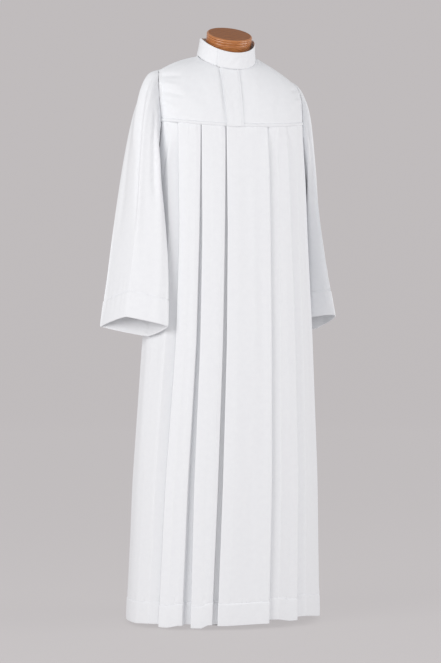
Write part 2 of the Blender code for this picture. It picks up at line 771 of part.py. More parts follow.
def make_form(linen, wood, steel):
    rings = []
    for centre_y, centre_z, half_width, half_depth, slope in FORM_RINGS:
        ring = []
        for index in range(FORM_AROUND):
            angle = 2 * math.pi * index / FORM_AROUND
            forward = half_depth * math.cos(angle)
            ring.append(Vector((half_width * math.sin(angle), centre_y - forward,
                                centre_z - forward * slope)))
        rings.append(ring)
    stack_rings("form_torso", rings, linen)
    lean = Matrix.Translation(CAP_TOP_CENTRE) @ Matrix.Rotation(math.radians(CAP_LEAN), 4, "X")
    profile = [(radius, -below) for radius, below in CAP_PROFILE[::-1]]
    stack_rings("neck_cap", turned_rings(profile, CAP_AROUND), wood, lean)
    foot_top = FOOT_PROFILE[-1][1]
    form_bottom = FORM_RINGS[0][1]
    pole = ((POLE_RADIUS, foot_top + SEAM_GAP), (POLE_RADIUS, form_bottom - SEAM_GAP))
    stack_rings("pole", turned_rings(pole, ROUND_SEGMENTS // 2), steel)
    stack_rings("foot", turned_rings(FOOT_PROFILE, ROUND_SEGMENTS), steel)


def main():
    clear_scene()
    materials = {name: make_material(name) for name in COLOURS}
    cloth = materials["white_poly_cotton"]
    make_skirts(cloth)
    make_yokes(cloth)
    make_collar(cloth)
    for sleeve in SLEEVES:
        make_sleeve(sleeve, cloth)
    make_form(materials["form_linen"], materials["varnished_wood"], materials["black_painted_steel"])


main()
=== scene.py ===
import math

import bpy
import numpy as np
from mathutils import Matrix, Vector


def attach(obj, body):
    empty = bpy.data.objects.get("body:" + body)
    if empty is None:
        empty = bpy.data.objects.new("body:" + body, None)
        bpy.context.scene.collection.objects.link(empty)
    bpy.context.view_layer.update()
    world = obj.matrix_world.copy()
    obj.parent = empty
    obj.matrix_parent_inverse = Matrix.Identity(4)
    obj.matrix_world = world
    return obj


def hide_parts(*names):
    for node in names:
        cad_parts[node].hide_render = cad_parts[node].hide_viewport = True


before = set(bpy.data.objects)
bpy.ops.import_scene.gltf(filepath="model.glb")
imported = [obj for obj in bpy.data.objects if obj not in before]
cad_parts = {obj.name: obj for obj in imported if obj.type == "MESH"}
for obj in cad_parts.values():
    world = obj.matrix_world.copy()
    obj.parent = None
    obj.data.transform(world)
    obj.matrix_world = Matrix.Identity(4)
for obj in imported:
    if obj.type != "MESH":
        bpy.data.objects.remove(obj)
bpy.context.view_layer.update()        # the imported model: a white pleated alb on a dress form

# Metres, +Z up. The front faces -Y, so the wearer's right side is at -X.
print("frame loaded:", len(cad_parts), "solids")


def addObject(name, data):
    thing = bpy.data.objects.new(name, data)
    bpy.context.scene.collection.objects.link(thing)
    return thing


# Camera: level, 17 degrees round to the wearer's right, aimed past the axis
camera = {
    "turn": 17.0,            # degrees round from the front
    "distance": 5.5,         # from the pole's axis
    "height": 0.7204,
    "aside": 0.01625,        # how far the line of sight passes to the viewer's left of the axis
    "lens": 119.46,
    "sensor": 36.0,
    "clipEnd": 60.0,
}
cameraTurn = math.radians(camera["turn"])
towardsCamera = Vector((-math.sin(cameraTurn), -math.cos(cameraTurn), 0.0))
viewerRight = Vector((math.cos(cameraTurn), -math.sin(cameraTurn), 0.0))


def makeCamera():
    data = bpy.data.cameras.new("studioCamera")
    data.lens = camera["lens"]
    data.sensor_fit = "VERTICAL"
    data.sensor_height = camera["sensor"]
    data.clip_end = camera["clipEnd"]
    thing = addObject("studioCamera", data)
    place = towardsCamera * camera["distance"] - viewerRight * camera["aside"]
    thing.location = (place.x, place.y, camera["height"])
    thing.rotation_euler = (math.radians(90.0), 0.0, -cameraTurn)
    bpy.context.scene.camera = thing


makeCamera()
print("camera set")


# Sizes shared by the cloth pieces, the same as in the part
cloth = {
    "wall": 0.0015,          # a layer of cloth
    "hemWall": 0.0026,       # a turned hem
    "seamGap": 0.0003,
    "layerPitch": 0.004,     # from one layer of a pleat to the next
    "foldNose": 0.0018,      # how far a folded edge stands out
    "rimRound": 0.35,        # how far cut edges round out, as a share of the wall
}

body = {
    "seamFront": 1.221,      # height of the yoke seam at the middle of the front
    "seamSide": 1.237,
    "underarm": 1.111,
    "reachFront": 13.0,      # degrees from the side seam to the armhole's front corner
    "reachBack": 21.0,
    "kinkReach": 0.035,      # the oval's sizes are eased over this height
    "sections": (
        # height, halfWidth, frontDepth, backDepth, shiftX, squareness
        (1.241, 0.186, 0.128, 0.122, 0.002, 0.80),
        (1.111, 0.195, 0.136, 0.132, 0.003, 0.84),
        (0.971, 0.201, 0.143, 0.147, 0.003, 0.88),
        (0.701, 0.214, 0.156, 0.168, 0.003, 0.92),
        (0.351, 0.233, 0.172, 0.190, -0.003, 0.95),
        (0.011, 0.244, 0.186, 0.208, -0.009, 0.95),
    ),
}


def readTable(rows, heights, column):
    rising = rows[::-1]
    return np.interp(heights, [row[0] for row in rising], [row[column] for row in rising])


def easedRead(rows, heights, column):
    reach = body["kinkReach"]
    ends = readTable(rows, heights - reach, column) + readTable(rows, heights + reach, column)
    return 0.25 * ends + 0.5 * readTable(rows, heights, column)


def signedPower(values, power):
    return np.sign(values) * np.abs(values) ** power


def smoothStep(values):
    held = np.clip(values, 0.0, 1.0)
    return held * held * (3.0 - 2.0 * held)


def bell(values, halfWidth):
    return np.exp(-(values / halfWidth) ** 2)


def unit(vectors):
    return vectors / np.maximum(np.linalg.norm(vectors, axis=-1, keepdims=True), 1e-12)


def bodyPoint(angle, height):
    # The cloth's outer face in plan, at an angle in degrees round the body
    halfWidth, front, back, shift, square = (easedRead(body["sections"], height, c) for c in range(1, 6))
    sine = np.sin(np.radians(angle))
    cosine = np.cos(np.radians(angle))
    depth = np.where(cosine > 0, front, back)
    x = shift + halfWidth * signedPower(sine, square)
    y = -depth * signedPower(cosine, square)
    return np.stack([x, y], axis=-1)


def bodyFrame(angle, height):
    # Point, outward direction and metres for each degree
    step = 0.5
    along = bodyPoint(angle + step, height) - bodyPoint(angle - step, height)
    outward = unit(np.stack([along[..., 1], -along[..., 0]], axis=-1))
    return bodyPoint(angle, height), outward, np.linalg.norm(along, axis=-1) / (2 * step)


def seamHeight(angle):
    return body["seamFront"] + (body["seamSide"] - body["seamFront"]) * np.sin(np.radians(angle)) ** 2


def skirtTop(angle):
    # The yoke seam, or beside the arm the lower half of the armhole
    offset = 90.0 - abs((angle + 180.0) % 360.0 - 180.0)
    reach = body["reachFront"] if offset > 0 else body["reachBack"]
    share = abs(offset) / reach
    if share >= 1.0:
        return float(seamHeight(angle))
    corner = float(seamHeight(90.0 - reach))
    return corner - (corner - body["underarm"]) * math.sqrt(1.0 - share * share)


def creaseRelief(across, along, creases):
    # Soft ridges and troughs. Each row runs from one place to another in metres and fades at its ends:
    # across0, along0, across1, along1, halfWidth, height (negative for a trough)
    total = np.zeros_like(across)
    for across0, along0, across1, along1, halfWidth, height in creases:
        run = np.array([across1 - across0, along1 - along0])
        length = np.hypot(*run)
        share = ((across - across0) * run[0] + (along - along0) * run[1]) / length ** 2
        aside = ((across - across0) * run[1] - (along - along0) * run[0]) / length
        fade = smoothStep(share / 0.3) * smoothStep((1.0 - share) / 0.35)
        total += height * fade * bell(aside, halfWidth)
    return total


# Building closed walls from grids of points
def gridNormals(grid, ring):
    if ring:
        across = np.roll(grid, -1, axis=1) - np.roll(grid, 1, axis=1)
    else:
        across = np.gradient(grid, axis=1)
    upwards = np.gradient(grid, axis=0)
    return unit(np.cross(across, upwards))


def travelledAlong(line):
    return np.concatenate([[0.0], np.cumsum(np.linalg.norm(np.diff(line, axis=0), axis=1))])


def gridUv(grid, ring):
    # The cloth's own flat coordinates in metres, measured along the middle row and column
    middle = grid[len(grid) // 2]
    u = travelledAlong(middle)
    if ring:
        u = np.append(u, u[-1] + np.linalg.norm(middle[0] - middle[-1]))
    return u, travelledAlong(grid[:, grid.shape[1] // 2])


def closedWall(name, outer, inner, material, ring=False):
    # Every column is a loop: up the outer face, over the rim, down the inner face and back
    rows, columns = outer.shape[:2]
    half = cloth["rimRound"]

    def rim(row, beside):
        middle = (outer[row] + inner[row]) / 2
        wall = np.linalg.norm(outer[row] - inner[row], axis=-1, keepdims=True)
        return middle + unit(outer[row] - outer[beside]) * wall * half

    loops = np.concatenate([outer, rim(-1, -2)[None], inner[::-1], rim(0, 1)[None]])
    count = len(loops)
    points = loops.transpose(1, 0, 2).reshape(-1, 3)
    u, v = gridUv(outer, ring)
    loopV = np.concatenate([v, [v[-1]], v[::-1], [v[0]]])
    faces = []
    uvs = []
    for column in range(columns if ring else columns - 1):
        beside = (column + 1) % columns
        for step in range(count):
            after = (step + 1) % count
            faces.append((column * count + step, beside * count + step,
                          beside * count + after, column * count + after))
            uvs += [(u[column], loopV[step]), (u[column + 1], loopV[step]),
                    (u[column + 1], loopV[after]), (u[column], loopV[after])]
    if not ring:
        for column, turned in ((0, False), (columns - 1, True)):
            base = column * count
            caps = [(base + r, base + r + 1, base + 2 * rows - r - 1, base + 2 * rows - r)
                    for r in range(rows - 1)]
            caps.append((base + rows - 1, base + rows, base + rows + 1))
            caps.append((base, base + 2 * rows, base + count - 1))
            for cap in caps:
                corners = cap[::-1] if turned else cap
                faces.append(corners)
                uvs += [(u[column], loopV[corner - base]) for corner in corners]
    mesh = bpy.data.meshes.new(name)
    mesh.from_pydata(points.tolist(), [], faces)
    layer = mesh.uv_layers.new(name="clothUv")
    layer.data.foreach_set("uv", np.array(uvs, dtype=np.float32).ravel())
    mesh.shade_smooth()
    mesh.set_sharp_from_angle(angle=math.radians(55))
    mesh.materials.append(material)
    return addObject(name, mesh)


# Materials
def linearColour(hexColour):
    parts = [int(hexColour[i:i + 2], 16) / 255 for i in (1, 3, 5)]
    return tuple(p / 12.92 if p <= 0.04045 else ((p + 0.055) / 1.055) ** 2.4 for p in parts) + (1.0,)


def addNode(tree, kind, settings=(), **inputs):
    # Inputs are named by words joined with _, or a number; a value is a plain one or another node's socket
    node = tree.nodes.new(kind)
    for field, value in dict(settings).items():
        setattr(node, field, value)
    for key, value in inputs.items():
        name = key.replace("_", " ")
        socket = node.inputs[int(key[1:])] if key[0] == "i" and key[1:].isdigit() else node.inputs[name]
        if isinstance(value, bpy.types.NodeSocket):
            tree.links.new(value, socket)
        else:
            socket.default_value = value
    return node


def newMaterial(name, roughness, **shaderInputs):
    material = bpy.data.materials.new(name)
    material.use_nodes = True
    tree = material.node_tree
    shader = tree.nodes["Principled BSDF"]
    shader.inputs["Roughness"].default_value = roughness
    for key, value in shaderInputs.items():
        shader.inputs[key.replace("_", " ")].default_value = value
    return material, tree, shader


# Bands that a wave texture at scale 1 draws in a metre, nearly
waveBands = 3.2

# Polyester-cotton poplin, woven plain and pressed: matt, very white, with a faint bluish shade in its folds
poplin = {
    "colour": "#F2F4F6",
    "slub": "#ECEEF1",        # a few threads are a touch thicker and greyer
    "roughness": 0.82,
    "threadPitch": 0.0011,    # real threads lie 0.25 mm apart; drawn this coarse so that they show
    "threadDepth": 0.00006,
    "slubSize": 0.012,
    "slubHeight": 0.8,        # as a share of a thread's height
}


def makePoplin():
    material, tree, shader = newMaterial("polyCottonPoplin", poplin["roughness"], Sheen_Weight=0.12,
                                         Sheen_Roughness=0.5)
    uv = addNode(tree, "ShaderNodeUVMap", {"uv_map": "clothUv"})
    scale = 1.0 / (poplin["threadPitch"] * 2)
    warp, weft = (addNode(tree, "ShaderNodeTexWave", {"bands_direction": direction}, Vector=uv.outputs["UV"],
                          Scale=scale / waveBands, Distortion=0.6, Detail=1.0)
                  for direction in "XY")
    over = addNode(tree, "ShaderNodeMath", {"operation": "MULTIPLY"}, i0=warp.outputs["Fac"],
                   i1=weft.outputs["Fac"])
    place = addNode(tree, "ShaderNodeTexCoord")
    slubs = addNode(tree, "ShaderNodeTexNoise", Vector=place.outputs["Object"],
                    Scale=1.0 / poplin["slubSize"], Detail=3.0, Roughness=0.55)
    mixed = addNode(tree, "ShaderNodeMix", {"data_type": "RGBA"}, i0=slubs.outputs["Fac"],
                    i6=linearColour(poplin["slub"]), i7=linearColour(poplin["colour"]))
    tree.links.new(mixed.outputs[2], shader.inputs["Base Color"])
    height = addNode(tree, "ShaderNodeMath", {"operation": "MULTIPLY_ADD"}, i0=slubs.outputs["Fac"],
                     i1=poplin["slubHeight"], i2=over.outputs[0])
    bump = addNode(tree, "ShaderNodeBump", Strength=0.35, Distance=poplin["threadDepth"],
                   Height=height.outputs[0])
    tree.links.new(bump.outputs["Normal"], shader.inputs["Normal"])
    return material


# Sewing thread, polyester: twisted, a little shinier than the cloth
thread = {"roughness": 0.55, "shade": "#E9E9EE", "light": "#F6F6F9", "twist": 0.0011111}


def makeThread():
    material, tree, shader = newMaterial("polyesterThread", thread["roughness"], Sheen_Weight=0.1)
    place = addNode(tree, "ShaderNodeTexCoord")
    fibre = addNode(tree, "ShaderNodeTexNoise", Vector=place.outputs["Object"],
                    Scale=1.0 / thread["twist"], Detail=1.0)
    mixed = addNode(tree, "ShaderNodeMix", {"data_type": "RGBA"}, i0=fibre.outputs["Fac"],
                    i6=linearColour(thread["shade"]), i7=linearColour(thread["light"]))
    tree.links.new(mixed.outputs[2], shader.inputs["Base Color"])
    return material


poplinMaterial = makePoplin()
threadMaterial = makeThread()
print("cloth materials made")


# Stitches: one Geometry Nodes tree for every sewn line
stitch = {
    "pitch": 0.0031,         # from one stitch to the next
    "length": 0.0024,
    "thickness": 0.0007,
    "lift": 0.0002,          # the thread's middle above the cloth
}


def makeStitchTree():
    # A bead of thread at every pitch along the path
    tree = bpy.data.node_groups.new("stitchRun", "GeometryNodeTree")
    tree.is_modifier = True
    for name, kind, flow in (("Path", "Geometry", "INPUT"), ("Pitch", "Float", "INPUT"),
                             ("Length", "Float", "INPUT"), ("Thickness", "Float", "INPUT"),
                             ("Thread", "Material", "INPUT"), ("Stitches", "Geometry", "OUTPUT")):
        tree.interface.new_socket(name=name, in_out=flow, socket_type="NodeSocket" + kind)
    given = tree.nodes.new("NodeGroupInput").outputs
    curve = addNode(tree, "GeometryNodeMeshToCurve", Mesh=given["Path"])
    points = addNode(tree, "GeometryNodeCurveToPoints", {"mode": "LENGTH"}, Curve=curve.outputs[0],
                     Length=given["Pitch"])
    bead = addNode(tree, "GeometryNodeMeshUVSphere", Segments=6, Rings=4, Radius=0.5)
    size = addNode(tree, "ShaderNodeCombineXYZ", X=given["Thickness"], Y=given["Thickness"],
                   Z=given["Length"])
    placed = addNode(tree, "GeometryNodeInstanceOnPoints", Points=points.outputs["Points"],
                     Instance=bead.outputs["Mesh"], Rotation=points.outputs["Rotation"],
                     Scale=size.outputs[0])
    real = addNode(tree, "GeometryNodeRealizeInstances", Geometry=placed.outputs[0])
    painted = addNode(tree, "GeometryNodeSetMaterial", Geometry=real.outputs[0], Material=given["Thread"])
    tree.links.new(painted.outputs[0], tree.nodes.new("NodeGroupOutput").inputs[0])
    return tree


stitchTree = makeStitchTree()


def sewLine(name, line):
    # line is a list of points on the cloth; the result is one plain mesh of stitches
    mesh = bpy.data.meshes.new(name + "Path")
    mesh.from_pydata([tuple(point) for point in line], [(i, i + 1) for i in range(len(line) - 1)], [])
    path = addObject(name + "Path", mesh)
    modifier = path.modifiers.new("stitchRun", "NODES")
    modifier.node_group = stitchTree
    values = {"Pitch": stitch["pitch"], "Length": stitch["length"], "Thickness": stitch["thickness"],
              "Thread": threadMaterial}
    for item in stitchTree.interface.items_tree:
        if item.name in values:
            modifier[item.identifier] = values[item.name]
    evaluated = path.evaluated_get(bpy.context.evaluated_depsgraph_get())
    result = bpy.data.meshes.new_from_object(evaluated)
    bpy.data.objects.remove(path, do_unlink=True)
    result.shade_smooth()
    return addObject(name, result)


def stitchLine(outer, normals, where):
    # The points of a row or column, lifted so that the thread lies on the cloth
    return outer[where] + normals[where] * stitch["lift"]


def makeClothPiece(name, node, outer, inner, line, ring=False):
    # One cloth wall with its line of stitches
    piece = closedWall(name, outer, inner, poplinMaterial, ring)
    stitches = sewLine(name + "Stitches", line)
    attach(piece, "root")
    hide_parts(node)
    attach(stitches, "root")
    print(name, "made:", len(piece.data.polygons), "faces")


# Skirt panels
skirt = {
    "underlay": 0.016,       # how far a pleat's hidden layer runs behind its edge
    "panelSpans": 34,
    "bodyRows": 66,
    "topRows": 20,
    "topShare": 0.955,       # the rows close up above this share of the height
    "cornerSteps": 4,
    "pleatHeights": (1.226, 0.971, 0.701, 0.351, 0.011),
    "flatness": 0.82,        # how far a pressed panel is flattened from the oval to its chord
    "edgeLift": {-1: -0.0026, 1: 0.0032},      # how far a pressed edge springs outwards, by the side it faces
    "liftReach": 0.024,
    "opening": (
        # height, slotWidth, slotDepth
        (1.241, 0.0030, 0.0060),
        (1.111, 0.0060, 0.0092),
        (0.971, 0.0088, 0.0126),
        (0.701, 0.0115, 0.0158),
        (0.351, 0.0140, 0.0182),
        (0.011, 0.0160, 0.0190),
    ),
    # An open pleat has a slot beside its folded edge. A shut one has the next panel dipping under it
    "frontRight": (
        # facing, dips at pleatHeights or None for open, reach, angles, hemSlotFactor, hemBefore, hemAfter.
        # facing is -1 for an edge towards the wearer's right; the hems are heights on the pleat's two sides
        (-1, (0.011, 0.014, 0.014, 0.012, 0.011), 0.03,
         (-51.9, -48.4, -49.4, -52.7, -54.4), 1.0, 0.0103, 0.004),
        (-1, None, 0.0, (-27.9, -28.3, -29.7, -31.3, -31.4), 1.5, 0.0099, 0.0046),
    ),
    "frontLeft": (
        (1, (0.004, 0.0056, 0.0066, 0.007, 0.007), 0.028,
         (15.2, 16.2, 15.7, 15.3, 12.9), 1.0, 0.0121, 0.020),
        (1, (0.004, 0.0066, 0.008, 0.0084, 0.008), 0.034,
         (34.2, 35.8, 36.6, 36.7, 33.6), 1.0, 0.0143, 0.021),
    ),
    "back": (
        (-1, (0.004, 0.012, 0.012, 0.010, 0.009), 0.04,
         (141.0, 142.0, 142.0, 141.0, 140.0), 0.8, 0.015, 0.009),
        (-1, None, 0.0, (162.0, 162.5, 163.0, 163.5, 164.0), 1.0, 0.0130, 0.0080),
        (1, None, 0.0, (198.0, 197.5, 197.0, 196.5, 196.0), 1.0, 0.0080, 0.0130),
        (1, (0.004, 0.012, 0.012, 0.010, 0.009), 0.04,
         (219.0, 218.0, 218.0, 219.0, 220.0), 0.8, 0.009, 0.015),
    ),
    "lapAngles": (-8.8, -9.9, -11.5, -13.2, -15.3),
    "lapTurning": 0.024,
    "lapHemBefore": 0.0124,
    "lapHemAfter": 0.0100,
    "sideHem": 0.0070,
    "sideSpans": 16,
    "degree": 0.0037,        # metres for a degree round the body, for placing creases
    "hemRises": (0.0, 0.0015, 0.006, 0.014, 0.024, 0.034, 0.043, 0.048, 0.0505, 0.0518, 0.0530,
                 0.0542, 0.055, 0.0575, 0.061, 0.066),     # rows above the hem's edge
    "hemRows": 12,           # how many of them are in the turned hem
    "stitchRow": 10,
    "firstRow": 0.073,       # the even rows start this far above the edge
    # Small gathers at the hem's stitches
    "puckerPitch": 0.012,
    "puckerTop": 0.0765,
    "puckerLength": 0.022,
    "puckerTall": 0.0012,
    # Gathers that hang from the yoke seam, deeper on the wearer's left of gatherTurn
    "gatherPitch": 0.014,
    "gatherTurn": -0.03,
    "gatherTall": (0.0010, 0.0018),
    # depth, halfWidth
    "seamGroove": (0.0007, 0.0022),
    "hemGroove": (0.0014, 0.0016),
    "hemRise": 0.0007,
}


def readAngles(angles, heights):
    return easedRead(tuple(zip(skirt["pleatHeights"], angles)), heights, 1)


def edgeSpring(heights, facing):
    return skirt["edgeLift"][facing] * smoothStep((body["seamFront"] - heights) / 0.08)


# A folded edge from its inner layer round to where the panel is flat again
foldedEdge = (
    # metres past the edge, depth, lift, rounding
    (0.0006, cloth["layerPitch"], 0.0, 0.0010),
    (-cloth["foldNose"] / 2, cloth["layerPitch"] / 2, 0.7, 0.0016),
    (0.0010, 0.0, 1.0, 0.0034),
    (skirt["liftReach"], 0.0, 0.0, 0.0120),
)


def pleatColumns(pleat):
    # One pleat's corners, each as a function that reads its angle and depth at heights, its hem's height
    # and how far it is rounded
    facing, dips, reach, angles, hemFactor, hemBefore, hemAfter = pleat
    hemPanel = hemBefore if facing < 0 else hemAfter
    hemEdge = hemAfter if facing < 0 else hemBefore
    hemFloor = max(hemBefore, hemAfter) + 0.002
    if dips:
        shape = (
            # slots, metres, depths, plus, lift, hem, rounding
            (0.0, -reach, 0.0, 0.0, 0.0, hemPanel, reach * 0.5),
            (0.0, -0.0045, 1.0, 0.0, 0.0, hemPanel, 0.0050),
            (0.0, 0.0015, 1.0, 0.0048, 0.0, hemPanel, 0.0030),
            (0.0, skirt["underlay"], 1.0, 0.0050, 0.0, hemFloor, 0.0018),
            (0.0, skirt["underlay"], 1.0, 0.0010, 0.0, hemEdge, 0.0018),
        )
    else:
        shape = (
            (-1.0, -0.010, 0.0, 0.0, 0.0, hemPanel, 0.0080),
            (-1.0, 0.0, 0.0, 0.0022, 0.0, hemPanel, 0.0016),
            (-0.86, 0.0, 1.0, 0.0, 0.0, hemFloor, 0.0030),
            (0.0, skirt["underlay"], 1.0, 0.0, 0.0, hemFloor, 0.0018),
            (0.0, skirt["underlay"], 1.0, -cloth["layerPitch"], 0.0, hemEdge, 0.0018),
        )
    shape += tuple((0.0, metres, 0.0, depth, lift, hemEdge, rounding)
                   for metres, depth, lift, rounding in foldedEdge)

    def reader(slots, metres, depths, plus, lift):
        def read(heights):
            edge = readAngles(angles, heights)
            nearHem = np.maximum(0.0, 1.0 - heights / skirt["pleatHeights"][2])
            slot = readTable(skirt["opening"], heights, 1) * (1.0 + (hemFactor - 1.0) * nearHem)
            # A dip starts shallow under the yoke seam
            deepening = 0.3 + 0.7 * smoothStep((body["seamFront"] - heights) / 0.07)
            depth = readAngles(dips, heights) * deepening if dips else readTable(skirt["opening"], heights, 2)
            perDegree = bodyFrame(edge, heights)[2]
            place = edge - facing * (slots * slot + metres) / perDegree
            return place, depths * depth + plus - lift * edgeSpring(heights, facing)
        return read

    columns = [(reader(*row[:5]), row[5], row[6]) for row in shape]
    return columns if facing < 0 else columns[::-1]


def edgeColumns(shape, hem):
    # The lap's two ends: metres past the edge, slots past it, depth, lift and rounding. A negative lift
    # means that the depth grows downwards with the slots
    def reader(metres, slots, depth, lift):
        def read(heights):
            edge = readAngles(skirt["lapAngles"], heights)
            slot = readTable(skirt["opening"], heights, 1)
            perDegree = bodyFrame(edge, heights)[2]
            deeper = 0.5 * (readTable(skirt["opening"], heights, 2) - skirt["opening"][0][2])
            place = edge + (metres + slots * slot) / perDegree
            return place, depth - (lift * edgeSpring(heights, -1) if lift >= 0 else lift * deeper)
        return read

    return [(reader(*row[:4]), hem, row[4]) for row in shape]


def lapEdgeColumns():
    turning = (skirt["lapTurning"], 0.0, cloth["layerPitch"], 0.0, 0.0)
    folded = [(metres, 0.0, depth, lift, rounding) for metres, depth, lift, rounding in foldedEdge]
    return edgeColumns([turning, *folded], skirt["lapHemAfter"])


def underLapColumns():
    depth = 2.2 * cloth["layerPitch"]
    shape = ((-0.010, -1.0, 0.0, 0.0, 0.0080), (0.0, -1.0, 0.0022, 0.0, 0.0016),
             (0.0, -0.86, depth, -1.0, 0.0030), (skirt["lapTurning"] * 1.1, 0.0, depth + 0.0005, -1.0, 0.0))
    return edgeColumns(shape, skirt["lapHemBefore"])


def sideColumns(sideAngle, towards):
    # Along the armhole's lower quarter, from the side seam to its corner
    frontwards = abs(((sideAngle + towards) + 180.0) % 360.0 - 180.0) < 90.0
    reach = body["reachFront"] if frontwards else body["reachBack"]
    pull = cloth["seamGap"] / 2

    def reader(angle, gap):
        def read(heights):
            perDegree = bodyFrame(np.full_like(heights, angle), heights)[2]
            return angle + towards * gap / perDegree, np.zeros_like(heights)
        return read

    columns = []
    for index in range(skirt["sideSpans"] + 1):
        share = math.sin(math.radians(90.0 * index / skirt["sideSpans"]))
        read = reader(sideAngle + towards * reach * share, 0.0 if index else pull)
        columns.append((read, skirt["sideHem"], 0.0))
    return columns if towards > 0 else columns[::-1]


def joinedColumns(groups):
    # All columns of a panel, with flat spans between the groups
    joined = []
    for group in groups:
        if joined:
            near, far = joined[-1], group[0]

            def between(share, near=near[0], far=far[0]):
                def read(heights):
                    first, second = near(heights), far(heights)
                    angle, depth = (a + (b - a) * share for a, b in zip(first, second))
                    # A pressed panel lies nearly flat, less so where it meets the yoke
                    start, end = bodyPoint(first[0], heights), bodyPoint(second[0], heights)
                    spot, outward, _ = bodyFrame(angle, heights)
                    sag = np.sum((spot - start - (end - start) * share) * outward, axis=-1)
                    flat = skirt["flatness"] * smoothStep((body["seamFront"] - heights) / 0.16)
                    return angle, depth + flat * sag
                return read

            for index in range(1, skirt["panelSpans"]):
                share = index / skirt["panelSpans"]
                joined.append((between(share), near[1] + (far[1] - near[1]) * share, 0.0))
        joined += group
    return joined


def rowHeights(hem, top):
    closing = np.linspace(1.0, 0.0, skirt["topRows"]) ** 1.5
    shares = np.concatenate([np.linspace(0.0, skirt["topShare"], skirt["bodyRows"], endpoint=False),
                             1.0 - (1.0 - skirt["topShare"]) * closing])
    base = hem + skirt["firstRow"]
    return np.concatenate([hem + np.array(skirt["hemRises"]), base + (top - base) * shares])


def hemWalls(count, hemRows):
    return np.where(np.arange(count) < hemRows, cloth["hemWall"], cloth["wall"])[:, None, None]


def roundedGrid(columns):
    # Points (x, y, z, angle) of the cloth's middle, with each corner column turned into a short arc
    flatHeight = np.array([body["seamFront"]])
    tall = []
    for read, hem, rounding in columns:
        top = skirtTop(float(read(flatHeight)[0][0])) - cloth["seamGap"] / 2
        heights = rowHeights(hem, top)
        angle, depth = read(heights)
        spot, outward, _ = bodyFrame(angle, heights)
        plan = spot - outward * (depth + cloth["wall"] / 2)[:, None]
        tall.append((np.column_stack([plan, heights, angle]), rounding))
    lines = []
    for index, (line, rounding) in enumerate(tall):
        if rounding == 0.0 or index in (0, len(tall) - 1):
            lines.append(line)
            continue
        before, after = tall[index - 1][0] - line, tall[index + 1][0] - line
        starts = line + before * np.minimum(0.48, rounding / np.linalg.norm(before[:, :2], axis=1))[:, None]
        ends = line + after * np.minimum(0.48, rounding / np.linalg.norm(after[:, :2], axis=1))[:, None]
        for step in range(skirt["cornerSteps"] + 1):
            share = step / skirt["cornerSteps"]
            lines.append(starts * (1 - share) ** 2 + line * (2 * share * (1 - share)) + ends * share ** 2)
    return np.stack(lines, axis=1)


def hemPuckers(low, high, seed):
    # Rows for creaseRelief, uneven in place, lean, length and depth
    draw = np.random.default_rng(seed)
    count = int((high - low) / skirt["puckerPitch"])
    rows = []
    for index in range(count):
        across = low + (high - low) * (index + draw.uniform(0.2, 0.8)) / count
        lean = draw.uniform(-0.35, 0.35) * skirt["puckerLength"]
        length = skirt["puckerLength"] * draw.uniform(0.5, 1.2)
        rows.append((across, skirt["puckerTop"], across + lean, skirt["puckerTop"] - length,
                     draw.uniform(0.0016, 0.0034),
                     skirt["puckerTall"] * draw.uniform(0.4, 1.0) * draw.choice((-1.0, 1.0))))
    return rows


def seamGathers(across, below, low, high, seed):
    draw = np.random.default_rng(seed + 50)
    spans = (high - low) / skirt["gatherPitch"]
    relief = 0.0
    for index in range(int(spans)):
        place = low + (high - low) * (index + draw.uniform(0.1, 0.9)) / spans
        reach = draw.uniform(0.016, 0.042)
        tall = skirt["gatherTall"][int(place > skirt["gatherTurn"])]
        deep = draw.uniform(0.3, 1.0) * tall * draw.choice((-1.0, 1.0))
        halfWidth = draw.uniform(0.0024, 0.0044)
        lean = draw.uniform(-0.08, 0.08)
        relief = relief + deep * bell(across - place - lean * below, halfWidth) * bell(below, reach)
    return relief


def makeSkirt(name, node, groups, creases, seed):
    grid = roundedGrid(joinedColumns(groups))
    angle, height = grid[..., 3], grid[..., 2]
    across = angle * skirt["degree"]
    low, high = across.min(), across.max()
    below = np.array([skirtTop(value) for value in angle[-1]])[None, :] - height
    rise = height - height[0][None, :]
    hemDepth = skirt["hemRises"][skirt["hemRows"]]
    stitchRise = skirt["hemRises"][skirt["stitchRow"]]
    relief = creaseRelief(across, height, creases)
    relief += creaseRelief(across, height, hemPuckers(low, high, seed))
    relief += seamGathers(across, below, low, high, seed)
    relief -= skirt["seamGroove"][0] * bell(below, skirt["seamGroove"][1])
    relief -= skirt["hemGroove"][0] * bell(rise - stitchRise, skirt["hemGroove"][1])
    relief += skirt["hemRise"] * smoothStep((hemDepth - 0.0015 - rise) / 0.002) * smoothStep(rise / 0.012)
    middle = grid[..., :3].copy()
    middle[..., :2] += bodyFrame(angle, height)[1] * relief[..., None]
    along = np.gradient(middle[..., :2], axis=1)
    facing = unit(np.stack([along[..., 1], -along[..., 0]], axis=-1))
    facing = np.concatenate([facing, np.zeros(facing.shape[:2] + (1,))], axis=-1)
    walls = hemWalls(len(middle), skirt["hemRows"])
    outer = middle + facing * walls / 2
    line = stitchLine(outer, facing, skirt["stitchRow"])
    makeClothPiece(name, node, outer, middle - facing * walls / 2, line)


def bodyCreases(rows):
    # Rows of angle, height, angle, height, halfWidth, tall, turned into metres round the body
    degree = skirt["degree"]
    return [(a0 * degree, h0, a1 * degree, h1, wide, tall) for a0, h0, a1, h1, wide, tall in rows]


